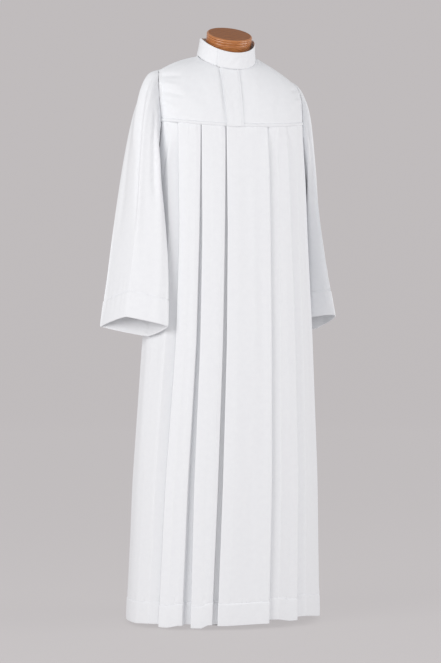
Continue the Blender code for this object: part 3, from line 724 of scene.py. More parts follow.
rightCreases = bodyCreases((
    # angle, height, angle, height, halfWidth, tall
    (-57, 1.240, -66, 1.090, 0.0080, 0.0020),
    (-61, 1.230, -74, 1.060, 0.0070, -0.0018),
    (-66, 1.100, -70, 0.540, 0.0190, -0.0016),
    (-62, 0.800, -63, 0.060, 0.0170, 0.0014),
    (-77, 0.820, -78, 0.040, 0.0220, -0.0018),
    (-84, 1.050, -85, 0.300, 0.0180, 0.0014),
    (-44, 1.200, -43, 0.720, 0.0100, 0.0010),
    (-39, 1.080, -40, 0.260, 0.0120, -0.0012),
    (-45, 0.620, -47, 0.030, 0.0110, 0.0012),
    (-35, 0.500, -37, 0.030, 0.0090, 0.0010),
    (-22, 1.170, -22, 0.640, 0.0090, -0.0009),
    (-18, 1.000, -20, 0.330, 0.0090, 0.0010),
    (-24, 0.460, -25, 0.030, 0.0090, -0.0010),
))
leftCreases = bodyCreases((
    (5, 1.150, 5, 0.560, 0.0090, 0.0014),
    (0, 1.210, 1, 0.800, 0.0080, -0.0008),
    (10, 0.980, 9, 0.240, 0.0120, -0.0013),
    (-4, 0.720, -6, 0.030, 0.0100, 0.0010),
    (3, 0.430, 1, 0.030, 0.0090, -0.0008),
    (17, 1.214, 20, 1.150, 0.0040, -0.0026),
    (36, 1.220, 39, 1.160, 0.0040, -0.0026),
    (24, 1.190, 24, 0.690, 0.0100, -0.0010),
    (29, 1.020, 30, 0.330, 0.0110, 0.0014),
    (22, 0.620, 20, 0.030, 0.0100, 0.0010),
    (46, 1.200, 48, 0.620, 0.0160, -0.0008),
    (58, 1.140, 58, 0.160, 0.0200, 0.0010),
    (70, 1.090, 70, 0.420, 0.0180, -0.0012),
    (48, 0.560, 48, 0.030, 0.0150, -0.0007),
    (80, 0.980, 80, 0.120, 0.0180, 0.0012),
))
backCreases = bodyCreases((
    (101, 1.060, 102, 0.180, 0.0150, 0.0028),
    (113, 1.180, 112, 0.460, 0.0130, -0.0030),
    (125, 1.190, 127, 0.240, 0.0130, 0.0022),
    (133, 0.720, 133, 0.060, 0.0110, -0.0014),
    (151, 1.190, 152, 0.560, 0.0090, -0.0012),
    (153, 0.820, 152, 0.090, 0.0100, 0.0012),
    (172, 1.170, 173, 0.420, 0.0100, -0.0010),
    (181, 1.200, 180, 0.640, 0.0110, 0.0013),
    (187, 0.900, 188, 0.090, 0.0110, -0.0012),
    (208, 1.150, 207, 0.360, 0.0100, 0.0012),
    (205, 0.640, 206, 0.060, 0.0090, -0.0010),
    (229, 1.180, 230, 0.580, 0.0120, -0.0016),
    (241, 1.190, 243, 0.210, 0.0140, 0.0026),
    (252, 1.040, 252, 0.330, 0.0140, -0.0030),
    (261, 0.880, 262, 0.110, 0.0150, 0.0024),
))

makeSkirt("frontSkirtRight", "front_skirt_right",
          [sideColumns(-90.0, 1), *map(pleatColumns, skirt["frontRight"]), underLapColumns()],
          rightCreases, 11)
makeSkirt("frontSkirtLeft", "front_skirt_left",
          [lapEdgeColumns(), *map(pleatColumns, skirt["frontLeft"]), sideColumns(90.0, -1)],
          leftCreases, 23)
makeSkirt("backSkirt", "back_skirt",
          [sideColumns(90.0, 1), *map(pleatColumns, skirt["back"]), sideColumns(270.0, -1)],
          backCreases, 37)


# Neckline, yokes and fly strip
collar = {
    "centreX": -0.005,
    "rings": (
        # centreY, centreZ, radiusX, radiusY, frontSlope, backSlope, frontDip
        (-0.008, 1.405, 0.0735, 0.0780, 0.42, 0.15, 0.007),
        (-0.014, 1.426, 0.0700, 0.0745, 0.44, 0.15, 0.007),
        (-0.020, 1.447, 0.0680, 0.0730, 0.46, 0.15, 0.008),
    ),
    "seat": 0.0005,
    "lapStart": 6.0,
    "lapEnd": -33.0,
    "lapRise": 0.0022,
    "lapEase": 60.0,
    "steps": 200,
    "rows": 18,
    "wall": 0.0018,
    "girthRadius": 0.072,    # metres round for each radian, for placing creases
    "tall": 0.042,
    "stitchColumn": 4,
    "creases": (
        # degrees, height, degrees, height, halfWidth, tall
        (-20, 0.004, -2, 0.030, 0.0045, 0.0010),
        (-8, 0.006, 12, 0.036, 0.0050, -0.0009),
        (22, 0.002, 30, 0.038, 0.0055, 0.0010),
        (44, 0.004, 50, 0.040, 0.0060, -0.0010),
        (-64, 0.004, -52, 0.036, 0.0070, 0.0008),
        (120, 0.004, 128, 0.040, 0.0080, 0.0010),
        (166, 0.002, 160, 0.040, 0.0070, -0.0010),
        (214, 0.004, 222, 0.040, 0.0080, 0.0010),
    ),
}

yoke = {
    "neckSpans": 20,
    "shoulderSpans": 26,
    "rows": 44,
    "lowRows": (0.0, 0.0010, 0.0022, 0.0036, 0.0050, 0.0063, 0.0073, 0.0081, 0.0088, 0.0095, 0.0104, 0.0120,
                0.0150),
    "highRows": (0.0140, 0.0112, 0.0098, 0.0086, 0.0078, 0.0070, 0.0062, 0.0045, 0.0022, 0.0),
    "middleSpans": 34,
    "roundingMiddle": 0.30,
    "zipLine": -0.0185,
    "flyFree": -0.0400,
    "flySewn": 0.0030,
    "flyLift": 0.0021,
    "flyTopGap": 0.0026,
    "flyPlaces": (0.0, 0.02, 0.05, 0.09, 0.14, 0.20, 0.27, 0.34, 0.41, 0.48, 0.55, 0.62, 0.69, 0.76, 0.82,
                  0.87, 0.90, 0.925, 0.94, 0.955, 0.98, 1.0),
    "bandDepth": 0.0088,     # the seam allowance, turned up and stitched down above the yoke seam
    "bandRise": 0.00221,
    "pastEnd": 0.30,         # further to the side than any yoke reaches
    # Uneven spots along the band
    "spotPitch": 0.013,
    "spotReach": 0.19,
    "spotTall": 0.0005,
    # depth, halfWidth
    "bandGroove": (0.0008, 0.0015),
    "seamGroove": (0.0007, 0.0016),
    # The allowance under the shoulder seam: width, height, then its groove
    "allowance": (0.0075, 0.0010),
    "allowanceGroove": (0.0006, 0.0012),
    # The fly's free edge stands up, its sewn edge sinks along the stitches, and it waves a little between
    "flyStitches": 0.94,
    "flyWaves": (
        # place across, height, halfWidth, share that is left at the top
        (0.0, 0.0011, 0.10, 1.0), (0.94, -0.0008, 0.030, 1.0),
        (0.25, 0.0005, 0.10, 0.3), (0.52, -0.0006, 0.10, 0.3), (0.75, 0.0004, 0.10, 0.3),
    ),
    "backSmoothing": 60,
}

sleeve = {
    "right": {
        "side": -1, "topX": 0.174, "topZ": 1.369, "shoulderRise": 0.005,
        "cuff": (0.249, -0.036, 0.733), "longHalf": 0.102, "nearHalf": 0.050, "farHalf": 0.023,
        "turn": 51.0, "rise": 0.024, "drop": 0.0, "swing": 1.0, "corners": 1.75, "skew": (-0.010, 0.025),
        "arriving": (
            # at the top, front, underarm and back
            (0.046, 0.022, 0.004, 0.026),        # inwards
            (-0.010, -0.020, -0.024, 0.004),     # forwards
            (0.300, 0.240, 0.200, 0.240),        # up
        ),
    },
    "left": {
        "side": 1, "topX": 0.164, "topZ": 1.349, "shoulderRise": 0.001,
        "cuff": (0.230, 0.066, 0.7405), "longHalf": 0.098, "nearHalf": 0.016, "farHalf": 0.056,
        "turn": -60.0, "rise": 0.008, "drop": 0.022, "swing": 0.60, "corners": 1.35, "skew": (0.0, 0.0),
        "arriving": (
            (0.064, 0.048, -0.006, -0.030),
            (0.040, 0.030, 0.036, 0.060),
            (0.300, 0.260, 0.200, 0.260),
        ),
    },
    "leaving": (
        (0.080, 0.030, 0.032, 0.030),
        (0.000, 0.050, 0.012, -0.034),
        (0.012, 0.030, 0.060, 0.040),
    ),
    "topY": 0.004,
    "bulge": 0.010,
    "start": 0.0006,
    "hemDepth": 0.068,
    # Rows below the hem's upper line
    "hemRows": (0.0008, 0.003, 0.0045, 0.007, 0.012, 0.024, 0.038, 0.052, 0.062, 0.0665),
    "stitchRow": 8,
    "hemShare": 1.75,        # shares of the sleeve for a metre of hem
    "cuffShare": 1.12,
    "around": 168,
    "rows": 84,
    "closing": 1.15,         # over 1 puts the rows closer together at the armhole
    "gathers": 26,
    "gatherRows": (
        # height, halfWidth in radians, middle and reach as shares of the way down
        (0.0013, 0.045, 1.02, 0.05),
        (0.0010, 0.06, 0.0, 0.10),
    ),
    # depth, middle, reach
    "grooves": ((0.0003, 0.0, 0.006), (0.0013, 1.006, 0.0035)),
    "hemRise": 0.0009,
}


def collarPoint(angle, ring):
    centreY, centreZ, radiusX, radiusY, frontSlope, backSlope, dip = ring
    sine, cosine = np.sin(np.radians(angle)), np.cos(np.radians(angle))
    slope = np.where(cosine > 0, frontSlope, backSlope)
    x = collar["centreX"] + radiusX * sine
    y = centreY - radiusY * cosine
    z = centreZ - radiusY * cosine * slope - dip * np.maximum(cosine, 0.0) ** 2
    return np.stack([x, y, z], axis=-1)


def sleeveOf(side):
    return sleeve["left"] if side > 0 else sleeve["right"]


def armholePoint(side, turn):
    # turn 0 is the shoulder, 90 the front, 180 the underarm and 270 the back
    facts = sleeveOf(side)
    turn = np.asarray(turn, float)
    sine, cosine = np.sin(np.radians(turn)), np.cos(np.radians(turn))
    reach = np.where(sine >= 0, body["reachFront"], body["reachBack"])
    cornerAngle = np.where(sine >= 0, side * (90.0 - reach), side * (90.0 + reach))
    cornerHeight = seamHeight(90.0 - reach)
    corner = bodyPoint(cornerAngle, cornerHeight)
    share = np.abs(sine)
    high = np.stack([
        side * facts["topX"] + (corner[..., 0] - side * facts["topX"]) * share
        + side * sleeve["bulge"] * share * cosine,
        sleeve["topY"] + (corner[..., 1] - sleeve["topY"]) * share,
        cornerHeight + (facts["topZ"] - cornerHeight) * cosine], axis=-1)
    height = cornerHeight + (cornerHeight - body["underarm"]) * cosine
    angle = side * (90.0 - np.copysign(reach, sine) * share)
    plan = bodyPoint(angle, height)
    low = np.concatenate([plan, height[..., None]], axis=-1)
    return np.where((cosine >= 0)[..., None], high, low)


def yokeColumn(top, bottom, rounding):
    shares = np.linspace(0.0, 1.0, yoke["rows"] + 1)[:, None]
    turn = shares * math.pi / 2
    straight = top + (bottom - top) * shares
    rounded = top + (bottom - top) * np.sin(turn)
    rounded[:, 2] = (bottom[2] + (top[2] - bottom[2]) * np.cos(turn))[:, 0]
    return straight + (rounded - straight) * rounding


def yokeColumns(side, front):
    # From the middle of the front or back to the armhole; each column runs down to the yoke seam
    neck = collar["rings"][0]
    around = np.linspace(0.0, 90.0, yoke["neckSpans"] + 1)
    topEdge = list(collarPoint(side * (around if front else 180.0 - around), neck))
    shoulderNeck = collarPoint(side * 90.0, neck)
    facts = sleeveOf(side)
    armholeTop = np.array([side * facts["topX"], sleeve["topY"], facts["topZ"]])
    for share in np.linspace(0.0, 1.0, yoke["shoulderSpans"] + 1)[1:]:
        spot = shoulderNeck + (armholeTop - shoulderNeck) * share
        spot[2] += facts["shoulderRise"] * math.sin(math.pi * share)
        topEdge.append(spot)
    reach = body["reachFront"] if front else body["reachBack"]
    # Seam places follow the top edge's own shares, as in the part
    spans = [i / yoke["neckSpans"] * 6 for i in range(yoke["neckSpans"] + 1)]
    spans += [6 + i / yoke["shoulderSpans"] * 5 for i in range(1, yoke["shoulderSpans"] + 1)]
    columns = []
    for span, top in zip(spans, topEdge):
        share = span / 11
        angle = side * (90.0 - reach) * share
        angle = angle if front else 180.0 - angle
        height = seamHeight(np.array(angle))
        bottom = np.append(bodyPoint(np.array(angle), height), height)
        rounding = yoke["roundingMiddle"] + (1.0 - yoke["roundingMiddle"]) * share
        columns.append(yokeColumn(top, bottom, rounding))
    turns = np.linspace(0.0, 90.0, yoke["rows"] + 1)
    columns[-1] = armholePoint(side, turns if front else 360.0 - turns)
    return columns


def resampled(line, places):
    # Points of a line at given positions along its own index
    index = np.arange(len(line))
    return np.stack([np.interp(places, index, line[:, axis]) for axis in range(3)], axis=-1)


def yokeGrid(front):
    first, second = (-1, 1) if front else (1, -1)
    columns = yokeColumns(first, front)[::-1] + yokeColumns(second, front)[1:]
    # Rows are set close together where the band and the shoulder seam lie
    fitted = []
    for column in columns:
        rising = column[::-1]
        travelled = travelledAlong(rising)
        high = travelled[-1] - np.array(yoke["highRows"])
        places = np.concatenate([yoke["lowRows"],
                                 np.linspace(yoke["lowRows"][-1], high[0], yoke["rows"])[1:-1], high])
        fitted.append(np.stack([np.interp(places, travelled, rising[:, axis]) for axis in range(3)], axis=-1))
    return np.stack(fitted, axis=1)


def spanAt(grid, x):
    # For each row, the position along it where X is reached
    return np.array([np.interp(x, row[:, 0], np.arange(len(row))) for row in grid])


def cutSpan(grid, starts, ends, spans):
    # spans is a count of equal ones, or the places themselves from 0 to 1
    places = np.linspace(0.0, 1.0, spans + 1) if isinstance(spans, int) else np.array(spans)
    return np.stack([resampled(row, a + (b - a) * places) for row, a, b in zip(grid, starts, ends)])


def pulledEdges(grid, left, right, top, bottom):
    # Trims a grid's edges by metres
    done = grid.copy()
    done[0] += unit(grid[1] - grid[0]) * bottom
    done[-1] += unit(grid[-2] - grid[-1]) * top
    done[:, 0] += unit(grid[:, 1] - grid[:, 0]) * left
    done[:, -1] += unit(grid[:, -2] - grid[:, -1]) * right
    return done


def yokeRelief(grid, creases, band, seed):
    # A stitched-down band above the yoke seam, rolled seam edges, and creases placed in X and Z
    x, z = grid[..., 0], grid[..., 2]
    above = z - z[0][None, :]
    inBand = smoothStep((x - band[0]) / 0.003) * smoothStep((band[1] - x) / 0.003)
    half = yoke["bandDepth"] / 2
    relief = yoke["bandRise"] * inBand * np.clip(1.0 - ((above - half) / half) ** 2, 0.0, 1.0)
    relief -= yoke["bandGroove"][0] * bell(above - yoke["bandDepth"], yoke["bandGroove"][1]) * inBand
    relief -= yoke["seamGroove"][0] * bell(above, yoke["seamGroove"][1])
    draw = np.random.default_rng(seed)
    for place in np.arange(-yoke["spotReach"], yoke["spotReach"], yoke["spotPitch"]):
        where = place + draw.uniform(-0.005, 0.005)
        deep = yoke["spotTall"] * draw.uniform(0.2, 1.0) * draw.choice((-1.0, 1.0))
        relief += deep * bell(x - where, 0.0028) * bell(above - 0.004, 0.014)
    return relief + creaseRelief(x, z, creases)


def shoulderSeam(grid):
    # The allowance turned forwards under the shoulder seam shows as a line a little below it
    below = grid[-1][None, :, 2] - grid[..., 2]
    width, tall = yoke["allowance"]
    depth, halfWidth = yoke["allowanceGroove"]
    beyondNeck = smoothStep((np.abs(grid[..., 0] - collar["centreX"]) - 0.070) / 0.006)
    ridge = tall * smoothStep((width - below) / 0.0014) * smoothStep(below / 0.002)
    return beyondNeck * (ridge - depth * bell(below - width - 0.001, halfWidth))


def flyEdges(grid):
    relief = np.zeros(grid.shape[:2])
    for place, tall, halfWidth, atTop in yoke["flyWaves"]:
        fade = np.linspace(1.0, atTop, len(grid))[:, None]
        relief += tall * bell(np.array(yoke["flyPlaces"]) - place, halfWidth)[None, :] * fade
    return relief


def bandStitches(grid, outer, normals, band):
    # A line of points along the band's top edge
    above = grid[..., 2] - grid[0, :, 2][None, :]
    line = []
    for column in range(grid.shape[1]):
        if band[0] + 0.002 < grid[0, column, 0] < band[1] - 0.002:
            nearest = int(np.argmin(np.abs(above[:, column] - yoke["bandDepth"])))
            place = np.interp(yoke["bandDepth"], above[:, column], np.arange(len(above)))
            row = int(math.floor(place))
            spot = outer[row, column] + (outer[row + 1, column] - outer[row, column]) * (place - row)
            line.append(spot + normals[nearest, column] * stitch["lift"])
    return line


def makeYoke(name, node, grid, creases, gaps, band, seed, lift=0.0, extraRelief=None):
    normals = gridNormals(grid, ring=False)
    normals[0][:, 2] = 0.0
    normals[0] = unit(normals[0])
    relief = yokeRelief(grid, creases, band or (1.0, -1.0), seed)
    if extraRelief:
        relief += extraRelief(grid)
    outer = pulledEdges(grid, *gaps) + normals * (relief + lift)[..., None]
    if band:
        line = bandStitches(grid, outer, normals, band)
    else:
        column = yoke["flyPlaces"].index(yoke["flyStitches"])
        line = stitchLine(outer, normals, (slice(1, -1), column))
    makeClothPiece(name, node, outer, outer - normals * cloth["wall"], line)


frontGrid = yokeGrid(front=True)
edgeGap = cloth["seamGap"] / 2


def frontSpan(start, end, spans):
    # Part of the front between two column numbers or places along each row
    rows = len(frontGrid)
    return cutSpan(frontGrid, np.broadcast_to(start, rows), np.broadcast_to(end, rows), spans)


nearShoulder = yoke["shoulderSpans"]
lastColumn = frontGrid.shape[1] - 1
zipPlace = spanAt(frontGrid, yoke["zipLine"])
rightGrid = np.concatenate([frontSpan(0, nearShoulder, nearShoulder),
                            frontSpan(nearShoulder, zipPlace, yoke["middleSpans"])[:, 1:]], axis=1)
leftGrid = np.concatenate([frontSpan(zipPlace, lastColumn - nearShoulder, yoke["middleSpans"]),
                           frontSpan(lastColumn - nearShoulder, lastColumn, nearShoulder)[:, 1:]], axis=1)
flyGrid = frontSpan(spanAt(frontGrid, yoke["flyFree"]), spanAt(frontGrid, yoke["flySewn"]), yoke["flyPlaces"])

frontYokeCreases = (
    # x, z, x, z, halfWidth, tall
    (-0.184, 1.352, -0.128, 1.350, 0.0050, -0.0028),
    (-0.186, 1.336, -0.138, 1.322, 0.0050, 0.0024),
    (-0.188, 1.314, -0.126, 1.296, 0.0055, -0.0030),
    (-0.187, 1.292, -0.148, 1.262, 0.0050, 0.0020),
    (-0.150, 1.330, -0.090, 1.240, 0.0120, 0.0014),
    (-0.100, 1.350, -0.075, 1.238, 0.0100, -0.0011),
    (-0.062, 1.360, -0.050, 1.230, 0.0070, 0.0007),
    (-0.0430, 1.400, -0.0430, 1.236, 0.0030, -0.0024),
    (0.0062, 1.400, 0.0062, 1.236, 0.0022, -0.0010),
    (0.184, 1.330, 0.140, 1.318, 0.0050, -0.0024),
    (0.188, 1.302, 0.148, 1.290, 0.0050, 0.0022),
    (0.165, 1.300, 0.110, 1.240, 0.0110, 0.0013),
    (0.120, 1.340, 0.085, 1.238, 0.0100, -0.0012),
    (0.050, 1.370, 0.040, 1.235, 0.0090, 0.0009),
    (0.018, 1.350, 0.016, 1.236, 0.0050, -0.0006),
)
makeYoke("frontYokeRight", "front_yoke_right", rightGrid, frontYokeCreases,
         (edgeGap, cloth["seamGap"], edgeGap, edgeGap), (-yoke["pastEnd"], yoke["flyFree"]),
         61, extraRelief=shoulderSeam)
makeYoke("frontYokeLeft", "front_yoke_left", leftGrid, frontYokeCreases,
         (cloth["seamGap"], edgeGap, edgeGap, edgeGap), (yoke["flySewn"] + 0.002, yoke["pastEnd"]),
         81, extraRelief=shoulderSeam)
makeYoke("flyStrip", "fly_strip", flyGrid, (), (0.0, 0.0, yoke["flyTopGap"], edgeGap), None,
         71, lift=yoke["flyLift"], extraRelief=flyEdges)

backYokeCreases = (
    (0.178, 1.330, 0.130, 1.318, 0.0050, -0.0015),
    (0.180, 1.300, 0.120, 1.280, 0.0060, 0.0015),
    (-0.180, 1.345, -0.130, 1.330, 0.0050, 0.0014),
    (-0.182, 1.310, -0.120, 1.288, 0.0060, -0.0016),
    (0.140, 1.330, 0.080, 1.235, 0.0120, 0.0013),
    (-0.140, 1.330, -0.085, 1.240, 0.0120, -0.0013),
    (0.040, 1.390, 0.030, 1.240, 0.0090, -0.0008),
    (-0.030, 1.390, -0.035, 1.240, 0.0100, 0.0009),
)
backGrid = yokeGrid(front=False)
# The cloth beside the neck is eased across the back, most in the middle of its height
risen = np.linalg.norm(backGrid - backGrid[:1], axis=-1)
fallen = np.linalg.norm(backGrid - backGrid[-1:], axis=-1)
easing = (0.5 * smoothStep((risen - 0.015) / 0.03) * smoothStep((fallen - 0.010) / 0.03))[:, 1:-1, None]
for turn in range(yoke["backSmoothing"]):
    between = (backGrid[:, :-2] + backGrid[:, 2:]) / 2
    backGrid[:, 1:-1] += (between - backGrid[:, 1:-1]) * easing
makeYoke("backYoke", "back_yoke", backGrid, backYokeCreases, (edgeGap, edgeGap, edgeGap, edgeGap),
         (-yoke["pastEnd"], yoke["pastEnd"]), 91)


# Stand collar
def collarRelief(around, shares):
    # Creases, a rolled top edge and a sunk lower one. The lap's end stands up a little, with a dip in the
    # layer beneath just past it
    along = shares[:, None] * collar["tall"] * np.ones((1, len(around)))
    across = np.radians(around)[None, :] * collar["girthRadius"] * np.ones((len(shares), 1))
    rows = [(math.radians(low + turn) * collar["girthRadius"], base,
             math.radians(high + turn) * collar["girthRadius"], top, halfWidth, tall)
            for low, base, high, top, halfWidth, tall in collar["creases"] for turn in (0.0, -360.0)]
    relief = creaseRelief(across, along, rows)
    relief += 0.0006 * bell(along - 0.040, 0.0030) - 0.0006 * bell(along, 0.0018)
    relief += 0.0009 * bell(around - around.min(), 3.0)[None, :]
    return relief - 0.0024 * bell(around - collar["lapEnd"] + 2.2, 1.9)[None, :]


def makeCollar():
    sweep = 360.0 + collar["lapStart"] - collar["lapEnd"]
    travelled = np.linspace(0.0, sweep, collar["steps"] + 1)
    angle = collar["lapStart"] - travelled
    lapZone = collar["lapStart"] - collar["lapEnd"] + 4.0
    ease = np.clip((lapZone + collar["lapEase"] - (sweep - travelled)) / collar["lapEase"], 0.0, 1.0)
    shares = np.linspace(0.0, 1.0, collar["rows"])
    rows = []
    for share in shares:
        ring = [np.interp(share * 2, (0, 1, 2), values) for values in zip(*collar["rings"])]
        spot = collarPoint(angle, ring)
        middle = spot.copy()
        middle[:, :2] = collar["centreX"], ring[0]
        spot = spot + unit(spot - middle) * (collar["lapRise"] * ease)[:, None]
        spot[:, 2] += collar["seat"] if share == 0.0 else 0.0
        rows.append(spot[::-1])
    grid = np.stack(rows)
    flat = gridNormals(grid, ring=False)
    flat[..., 2] = 0.0
    flat = unit(flat)
    outer = grid + flat * collarRelief(angle[::-1], shares)[..., None]
    line = stitchLine(outer, flat, (slice(1, -1), collar["stitchColumn"]))
    makeClothPiece("collarBand", "collar", outer, outer - flat * collar["wall"], line)


makeCollar()


# Sleeves
def aroundSleeve(values, turn):
    top, front, under, back = values
    mean = (top + front + under + back) / 4
    twice = (top + under - front - back) / 4
    angle = np.radians(turn)
    first = (top - under) / 2 * np.cos(angle) + (front - back) / 2 * np.sin(angle)
    return mean + first + twice * np.cos(2 * angle)


def cuffPoint(facts, turn):
    x, y, z = facts["cuff"]
    yaw = math.radians(facts["turn"])
    swing = np.radians(turn) + yaw
    along = np.array([math.cos(yaw), -math.sin(yaw)])
    outwards = np.array([-math.sin(yaw), -math.cos(yaw)])
    sine, cosine = np.sin(swing), np.cos(swing)
    short = np.where(sine > 0, facts["nearHalf"], facts["farHalf"])
    bent = facts["corners"]
    lean = np.where(sine > 0, *facts["skew"]) * signedPower(sine, bent)
    long = facts["longHalf"] * signedPower(cosine, bent) + lean
    wide = short * signedPower(sine, bent)
    spot = np.array([-x, y]) - along * long[:, None] + outwards * wide[:, None]
    height = z + facts["rise"] * signedPower(sine, bent) + facts["drop"] * cosine
    return np.column_stack([-facts["side"] * spot[:, 0], spot[:, 1], height])


def sleeveRings(facts, turn):
    # Rows that run up from the cuff, as on the other pieces
    side = facts["side"]
    start = armholePoint(side, turn)
    out, forward, down = (aroundSleeve(row, turn) for row in sleeve["leaving"])
    inwards, ahead, up = (aroundSleeve(row, turn) for row in facts["arriving"])
    rising = np.column_stack([-side * inwards, -ahead, up])
    leaving = np.column_stack([side * out * facts["swing"], -forward * facts["swing"], -down])
    cuff = cuffPoint(facts, turn)
    hemLine = cuff + unit(rising) * sleeve["hemDepth"]
    shares = np.linspace(0.0, 1.0, sleeve["rows"]) ** sleeve["closing"]
    rings = []
    for share in shares:
        rest = 1.0 - share
        rings.append(start * rest ** 3 + (start + leaving) * (3 * rest ** 2 * share)
                     + (hemLine + rising) * (3 * rest * share ** 2) + hemLine * share ** 3)
    rings[0] = rings[0] + unit(rings[1] - rings[0]) * sleeve["start"]
    step = unit(cuff - hemLine)
    rings += [hemLine + step * fall for fall in sleeve["hemRows"]] + [cuff]
    falls = 1.0 + np.array(sleeve["hemRows"]) * sleeve["hemShare"]
    along = np.concatenate([shares, falls, [sleeve["cuffShare"]]])
    return np.stack(rings[::-1]), along[::-1]


def sleeveRelief(turnRow, along, creases, seed):
    # turnRow in degrees; along is the share of the way down from the armhole, past 1 in the hem
    across = np.radians(turnRow)[None, :] * np.ones((len(along), 1))
    down = along[:, None] * np.ones((1, len(turnRow)))

    def roundFrom(where):
        return np.abs((across - where + math.pi) % (2 * math.pi) - math.pi)

    relief = np.zeros(across.shape)
    for turn0, down0, turn1, down1, halfWidth, tall in creases:
        centre = np.radians(np.interp(down, (down0, down1), (turn0, turn1)))
        share = (down - down0) / (down1 - down0)
        fade = smoothStep(share / 0.2) * (smoothStep((1.0 - share) / 0.25) if down1 < 1.1 else 1.0)
        relief += tall * fade * bell(roundFrom(centre), math.radians(halfWidth))
    draw = np.random.default_rng(seed)
    for index in range(sleeve["gathers"]):
        for tall, halfWidth, middle, reach in sleeve["gatherRows"]:
            where = math.radians(360.0 * (index + draw.uniform(0.2, 0.8)) / sleeve["gathers"])
            deep = draw.uniform(0.3, 1.0) * tall * draw.choice((-1.0, 1.0))
            relief += deep * bell(roundFrom(where), halfWidth) * bell(down - middle, reach)
    for depth, middle, reach in sleeve["grooves"]:
        relief -= depth * bell(down - middle, reach)
    hemLine = sleeve["grooves"][1][1]
    hemEnd = smoothStep((sleeve["cuffShare"] - down) / 0.02)
    return relief + sleeve["hemRise"] * smoothStep((down - hemLine) / 0.006) * hemEnd


def makeSleeve(word, node, creases, seed):
    turn = np.arange(sleeve["around"]) * (360.0 / sleeve["around"])
    grid, along = sleeveRings(sleeve[word], turn)
    if sleeve[word]["side"] > 0:
        grid, turn = grid[:, ::-1], turn[::-1]
    normals = gridNormals(grid, ring=True)
    if np.sum((grid - grid.mean(axis=1, keepdims=True)) * normals) < 0:
        grid, turn = grid[:, ::-1], turn[::-1]
        normals = gridNormals(grid, ring=True)
    outer = grid + normals * sleeveRelief(turn, along, creases, seed)[..., None]
    inner = outer - normals * hemWalls(len(grid), len(sleeve["hemRows"]) + 1)
    name = "sleeve" + word.capitalize()
    line = stitchLine(outer, normals, sleeve["stitchRow"])
    makeClothPiece(name, node, outer, inner, np.concatenate([line, line[:1]]),
                   ring=True)


rightSleeveCreases = (
    # turn at its top, share down at its top, turn and share at its bottom, halfWidth in degrees, tall
    (44, 0.02, 58, 0.96, 8, 0.0056),
    (22, 0.03, 34, 0.86, 9, -0.0058),
    (72, 0.10, 84, 0.70, 8, -0.0052),
    (92, 0.22, 100, 1.12, 9, 0.0040),
    (112, 0.02, 118, 0.52, 8, -0.0036),
    (2, 0.02, 6, 0.60, 9, 0.0046),
    (338, 0.05, 344, 0.90, 11, -0.0042),
    (310, 0.10, 302, 1.12, 12, 0.0040),
    (270, 0.06, 262, 0.80, 12, -0.0038),
    (222, 0.20, 230, 1.12, 12, 0.0030),
)
leftSleeveCreases = (
    (52, 0.04, 64, 0.74, 9, 0.0026),
    (78, 0.05, 92, 0.90, 10, -0.0030),
    (112, 0.20, 118, 1.12, 10, 0.0022),
    (20, 0.06, 22, 0.86, 11, -0.0030),
    (350, 0.10, 346, 1.12, 12, 0.0032),
    (316, 0.06, 318, 0.80, 12, -0.0030),
    (284, 0.12, 280, 1.12, 12, 0.0030),
    (248, 0.10, 244, 0.90, 12, -0.0028),
)
makeSleeve("right", "sleeve_right", rightSleeveCreases, 5)
makeSleeve("left", "sleeve_left", leftSleeveCreases, 9)


# Dress form and stand
form = {
    "rings": (
        # centreY, centreZ, halfWidth, halfDepth, slope
        (0.000, 0.7510, 0.1450, 0.0980, 0.0),
        (0.000, 0.7570, 0.1500, 0.1030, 0.0),
        (0.000, 0.8310, 0.1550, 0.1080, 0.0),
        (0.000, 0.9110, 0.1500, 0.1040, 0.0),
        (0.000, 1.0110, 0.1340, 0.0920, 0.0),
        (0.000, 1.0910, 0.1360, 0.0940, 0.0),
        (0.000, 1.1910, 0.1520, 0.1030, 0.0),
        (0.000, 1.2610, 0.1580, 0.0950, 0.05),
        (0.000, 1.3110, 0.1550, 0.0800, 0.10),
        (-0.002, 1.3390, 0.1430, 0.0690, 0.14),
        (-0.003, 1.3570, 0.1220, 0.0620, 0.20),
        (-0.004, 1.3710, 0.0960, 0.0580, 0.26),
        (-0.006, 1.3840, 0.0720, 0.0560, 0.32),
        (-0.006, 1.3990, 0.0600, 0.0550, 0.38),
        (-0.0015, 1.4145, 0.0555, 0.0545, 0.4557),
    ),
    "around": 96,
    "between": 6,
    "capCentre": (0.0, -0.022, 1.461),
    "capLean": 24.5,
    "capProfile": (
        # radius, height below the top face
        (0.0530, 0.0000), (0.0545, 0.0002), (0.0557, 0.0010), (0.0567, 0.0022), (0.0571, 0.0036),
        (0.0569, 0.0050), (0.0562, 0.0060), (0.0558, 0.0067), (0.0562, 0.0074), (0.0566, 0.0084),
        (0.0567, 0.0120), (0.0563, 0.0127), (0.0558, 0.0132), (0.0563, 0.0138), (0.0566, 0.0146),
        (0.0565, 0.0240), (0.0560, 0.0360), (0.0552, 0.0430), (0.0535, 0.0500),
    ),
    "poleRadius": 0.014,
    "footProfile": (
        # radius, height
        (0.1060, 0.0000), (0.1085, 0.0005), (0.1098, 0.0018), (0.1100, 0.0035), (0.1097, 0.0060),
        (0.1085, 0.0076), (0.1060, 0.0086), (0.0800, 0.0112), (0.0560, 0.0134), (0.0400, 0.0150),
        (0.0300, 0.0163), (0.0250, 0.0180), (0.0228, 0.0210), (0.0218, 0.0300), (0.0210, 0.0450),
        (0.0203, 0.0472), (0.0190, 0.0480),
    ),
}


